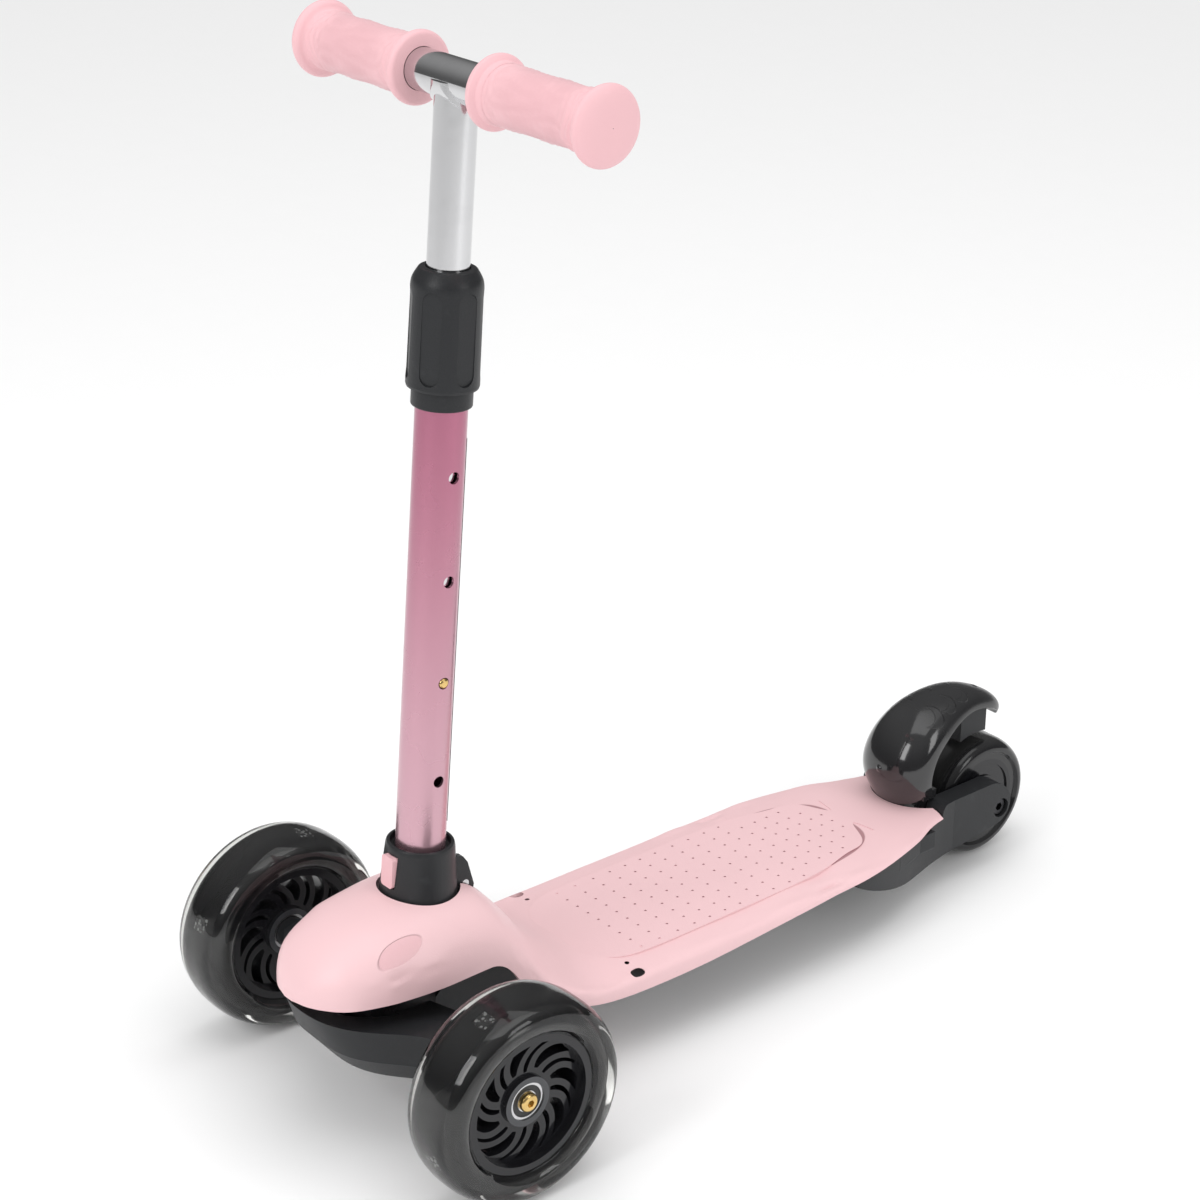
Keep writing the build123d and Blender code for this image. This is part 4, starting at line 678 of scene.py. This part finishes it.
def fender_material():
    """Black plastic, polished in front and satin on top; three crescents stand up on each side.

    Place on the arch is the angle round its centre line times its radius, and the distance
    to either side."""
    material, tree, shader = blank_material("glossy black fender", Coat_Roughness=0.05)
    whole, x, y, z = where(tree)
    ahead = arith(tree, "SUBTRACT", FENDER_Y, y)
    angle = arith(tree, "ARCTAN2", arith(tree, "SUBTRACT", z, FENDER_Z), ahead)
    along = arith(tree, "MULTIPLY", angle, 0.056)
    across = arith(tree, "ABSOLUTE", x)
    crescent = crescent_group()
    relief_mask = None
    for degrees, out, size in ((60, 0.0125, 0.0085), (76, 0.0105, 0.0080), (92, 0.0085, 0.0072)):
        leaf = tree.nodes.new("ShaderNodeGroup")
        leaf.node_tree = crescent
        wire(tree, along, leaf.inputs["Along"])
        wire(tree, across, leaf.inputs["Across"])
        leaf.inputs["At Along"].default_value = radians(degrees) * 0.056
        leaf.inputs["At Across"].default_value = out
        leaf.inputs["Size"].default_value = size
        relief_mask = leaf.outputs[0] if relief_mask is None else arith(tree, "MAXIMUM", relief_mask, leaf.outputs[0])
    satin = step(tree, angle, radians(48), radians(66))
    wire(tree, arith(tree, "MULTIPLY_ADD", satin, -0.5), shader.inputs["Coat Weight"])
    shader.inputs["Coat Weight"].links[0].from_node.inputs[2].default_value = 0.7
    gloss = arith(tree, "MULTIPLY_ADD", satin, 0.20)
    gloss.node.inputs[2].default_value = 0.12
    gloss = arith(tree, "ADD", gloss, arith(tree, "MULTIPLY", relief_mask, 0.08))
    grain = use_grain(tree, shader, (0.012, 0.012, 0.013), gloss, scale=1100.0, depth=0.05, spread=0.1)
    relief = tree.nodes.new("ShaderNodeBump")
    relief.inputs["Strength"].default_value = 0.7
    relief.inputs["Distance"].default_value = 0.0008
    wire(tree, relief_mask, relief.inputs["Height"])
    wire(tree, grain.outputs["Normal"], relief.inputs["Normal"])
    wire(tree, relief.outputs["Normal"], shader.inputs["Normal"])
    return material


def dome_grid(degrees, crest, reach, painted_height_shade):
    """A shallow dome on the arch: height above it is the rise times (1 - distance squared),
    and its foot sinks a little into the arch."""
    distance = np.linspace(0.0, 1.0, 9)[:, None]
    turn = np.linspace(0, 2 * pi, 32, endpoint=False)[None, :]
    side_way = reach * distance * np.cos(turn)
    fore = reach * distance * np.sin(turn)
    height = crest - 0.0005 + painted_height_shade * (1 - distance**2) + 0 * turn
    a = radians(degrees)
    out = np.array((0, -cos(a), sin(a)))
    forward_way = np.array((0, sin(a), cos(a)))
    centre = np.array((0, FENDER_Y, FENDER_Z))
    x_way = np.array((1.0, 0, 0))
    top = centre + height[..., None] * out + side_way[..., None] * x_way + fore[..., None] * forward_way
    sunk = centre + (crest - 0.0015) * out + 0 * top[-1:]
    skirt = top[-1:] - 0.0010 * out
    return np.concatenate((top, skirt, sunk))


fender_finish = fender_material()
dress("brake_fender", fender_finish)
for label, degrees, crest, reach, painted_height_shade in (("rivet", 15.0, 0.0593, 0.0030, 0.0016), ("boss", 120.0, 0.0545, 0.0034, 0.0009)):
    dome = bpy.data.objects.new(f"fender_{label}", grid_mesh(f"fender_{label}", dome_grid(degrees, crest, reach, painted_height_shade)))
    dome.data.materials.append(fender_finish)
    bpy.context.scene.collection.objects.link(dome)
    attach(dome, "brake")
dress("brake_pad", black_nylon)
dress("brake_pin", ground_steel)
dress("brake_spring", ground_steel)


# ---------------------------------------------------------------- floor, light and camera
# A pale flat floor, three soft boxes and the lens.

def floor_material():
    material, tree, shader = blank_material("pale paper floor", Specular_IOR_Level=0.1)
    use_grain(tree, shader, (0.93, 0.93, 0.93), 0.85, scale=300.0, depth=0.02, mottle=0.01)
    return material


floor_mesh = bpy.data.meshes.new("floor")
floor_mesh.from_pydata([(-6, -6, 0), (6, -6, 0), (6, 6, 0), (-6, 6, 0)], [], [(0, 1, 2, 3)])
floor_mesh.materials.append(floor_material())
floor = bpy.data.objects.new("floor", floor_mesh)
bpy.context.scene.collection.objects.link(floor)

world = bpy.data.worlds.new("studio")
bpy.context.scene.world = world
world.use_nodes = True
sky = world.node_tree
whole, x, y, z = where(sky)
sky_light = sky.nodes["Background"]
sky_light.inputs["Color"].default_value = (1.0, 1.0, 1.0, 1.0)
rays = sky.nodes.new("ShaderNodeLightPath")
upward = step(sky, z, 0.05, 0.9)
dim = arith(sky, "MULTIPLY_ADD", upward, 0.30)
dim.node.inputs[2].default_value = 0.12
plain = arith(sky, "SUBTRACT", 1.0, rays.outputs["Is Glossy Ray"])
mixed = arith(sky, "ADD", arith(sky, "MULTIPLY", plain, 0.86), arith(sky, "MULTIPLY", rays.outputs["Is Glossy Ray"], dim))
wire(sky, arith(sky, "MAXIMUM", mixed, rays.outputs["Is Camera Ray"]), sky_light.inputs["Strength"])
bpy.context.scene.view_settings.view_transform = "Standard"


def soft_box(name, place, aim, width, height, power):
    lamp = bpy.data.lights.new(name, "AREA")
    lamp.shape = "RECTANGLE"
    lamp.size, lamp.size_y, lamp.energy = width, height, power
    holder = bpy.data.objects.new(name, lamp)
    bpy.context.scene.collection.objects.link(holder)
    holder.location = place
    holder.rotation_euler = (Vector(aim) - Vector(place)).to_track_quat("-Z", "Y").to_euler()


soft_box("top_box", (0.2, 0.1, 2.2), (0, 0, 0.2), 1.8, 1.8, 12.0)
soft_box("key_box", (0.2, -2.0, 1.5), (0, 0, 0.3), 0.8, 1.2, 14.0)
soft_box("side_box", (2.2, 0.6, 1.2), (0, 0, 0.3), 0.7, 1.2, 8.0)

lens = bpy.data.cameras.new("camera")
lens.sensor_width = 36.0
lens.lens = 2810.5 / 1200 * 36.0
camera = bpy.data.objects.new("camera", lens)
bpy.context.scene.collection.objects.link(camera)
azimuth, elevation, roll = radians(50.30), radians(24.29), radians(0.23)
forward = Vector((-sin(azimuth) * cos(elevation), cos(azimuth) * cos(elevation), -sin(elevation)))
right = forward.cross(Vector((0, 0, 1))).normalized()
up = right.cross(forward)
turned_right = right * cos(roll) + up * sin(roll)
turned_up = up * cos(roll) - right * sin(roll)
camera.matrix_world = Matrix.Translation((1.09836, -0.97768, 0.90736)) @ Matrix(
    (turned_right, turned_up, -forward)
).transposed().to_4x4()
bpy.context.scene.camera = camera
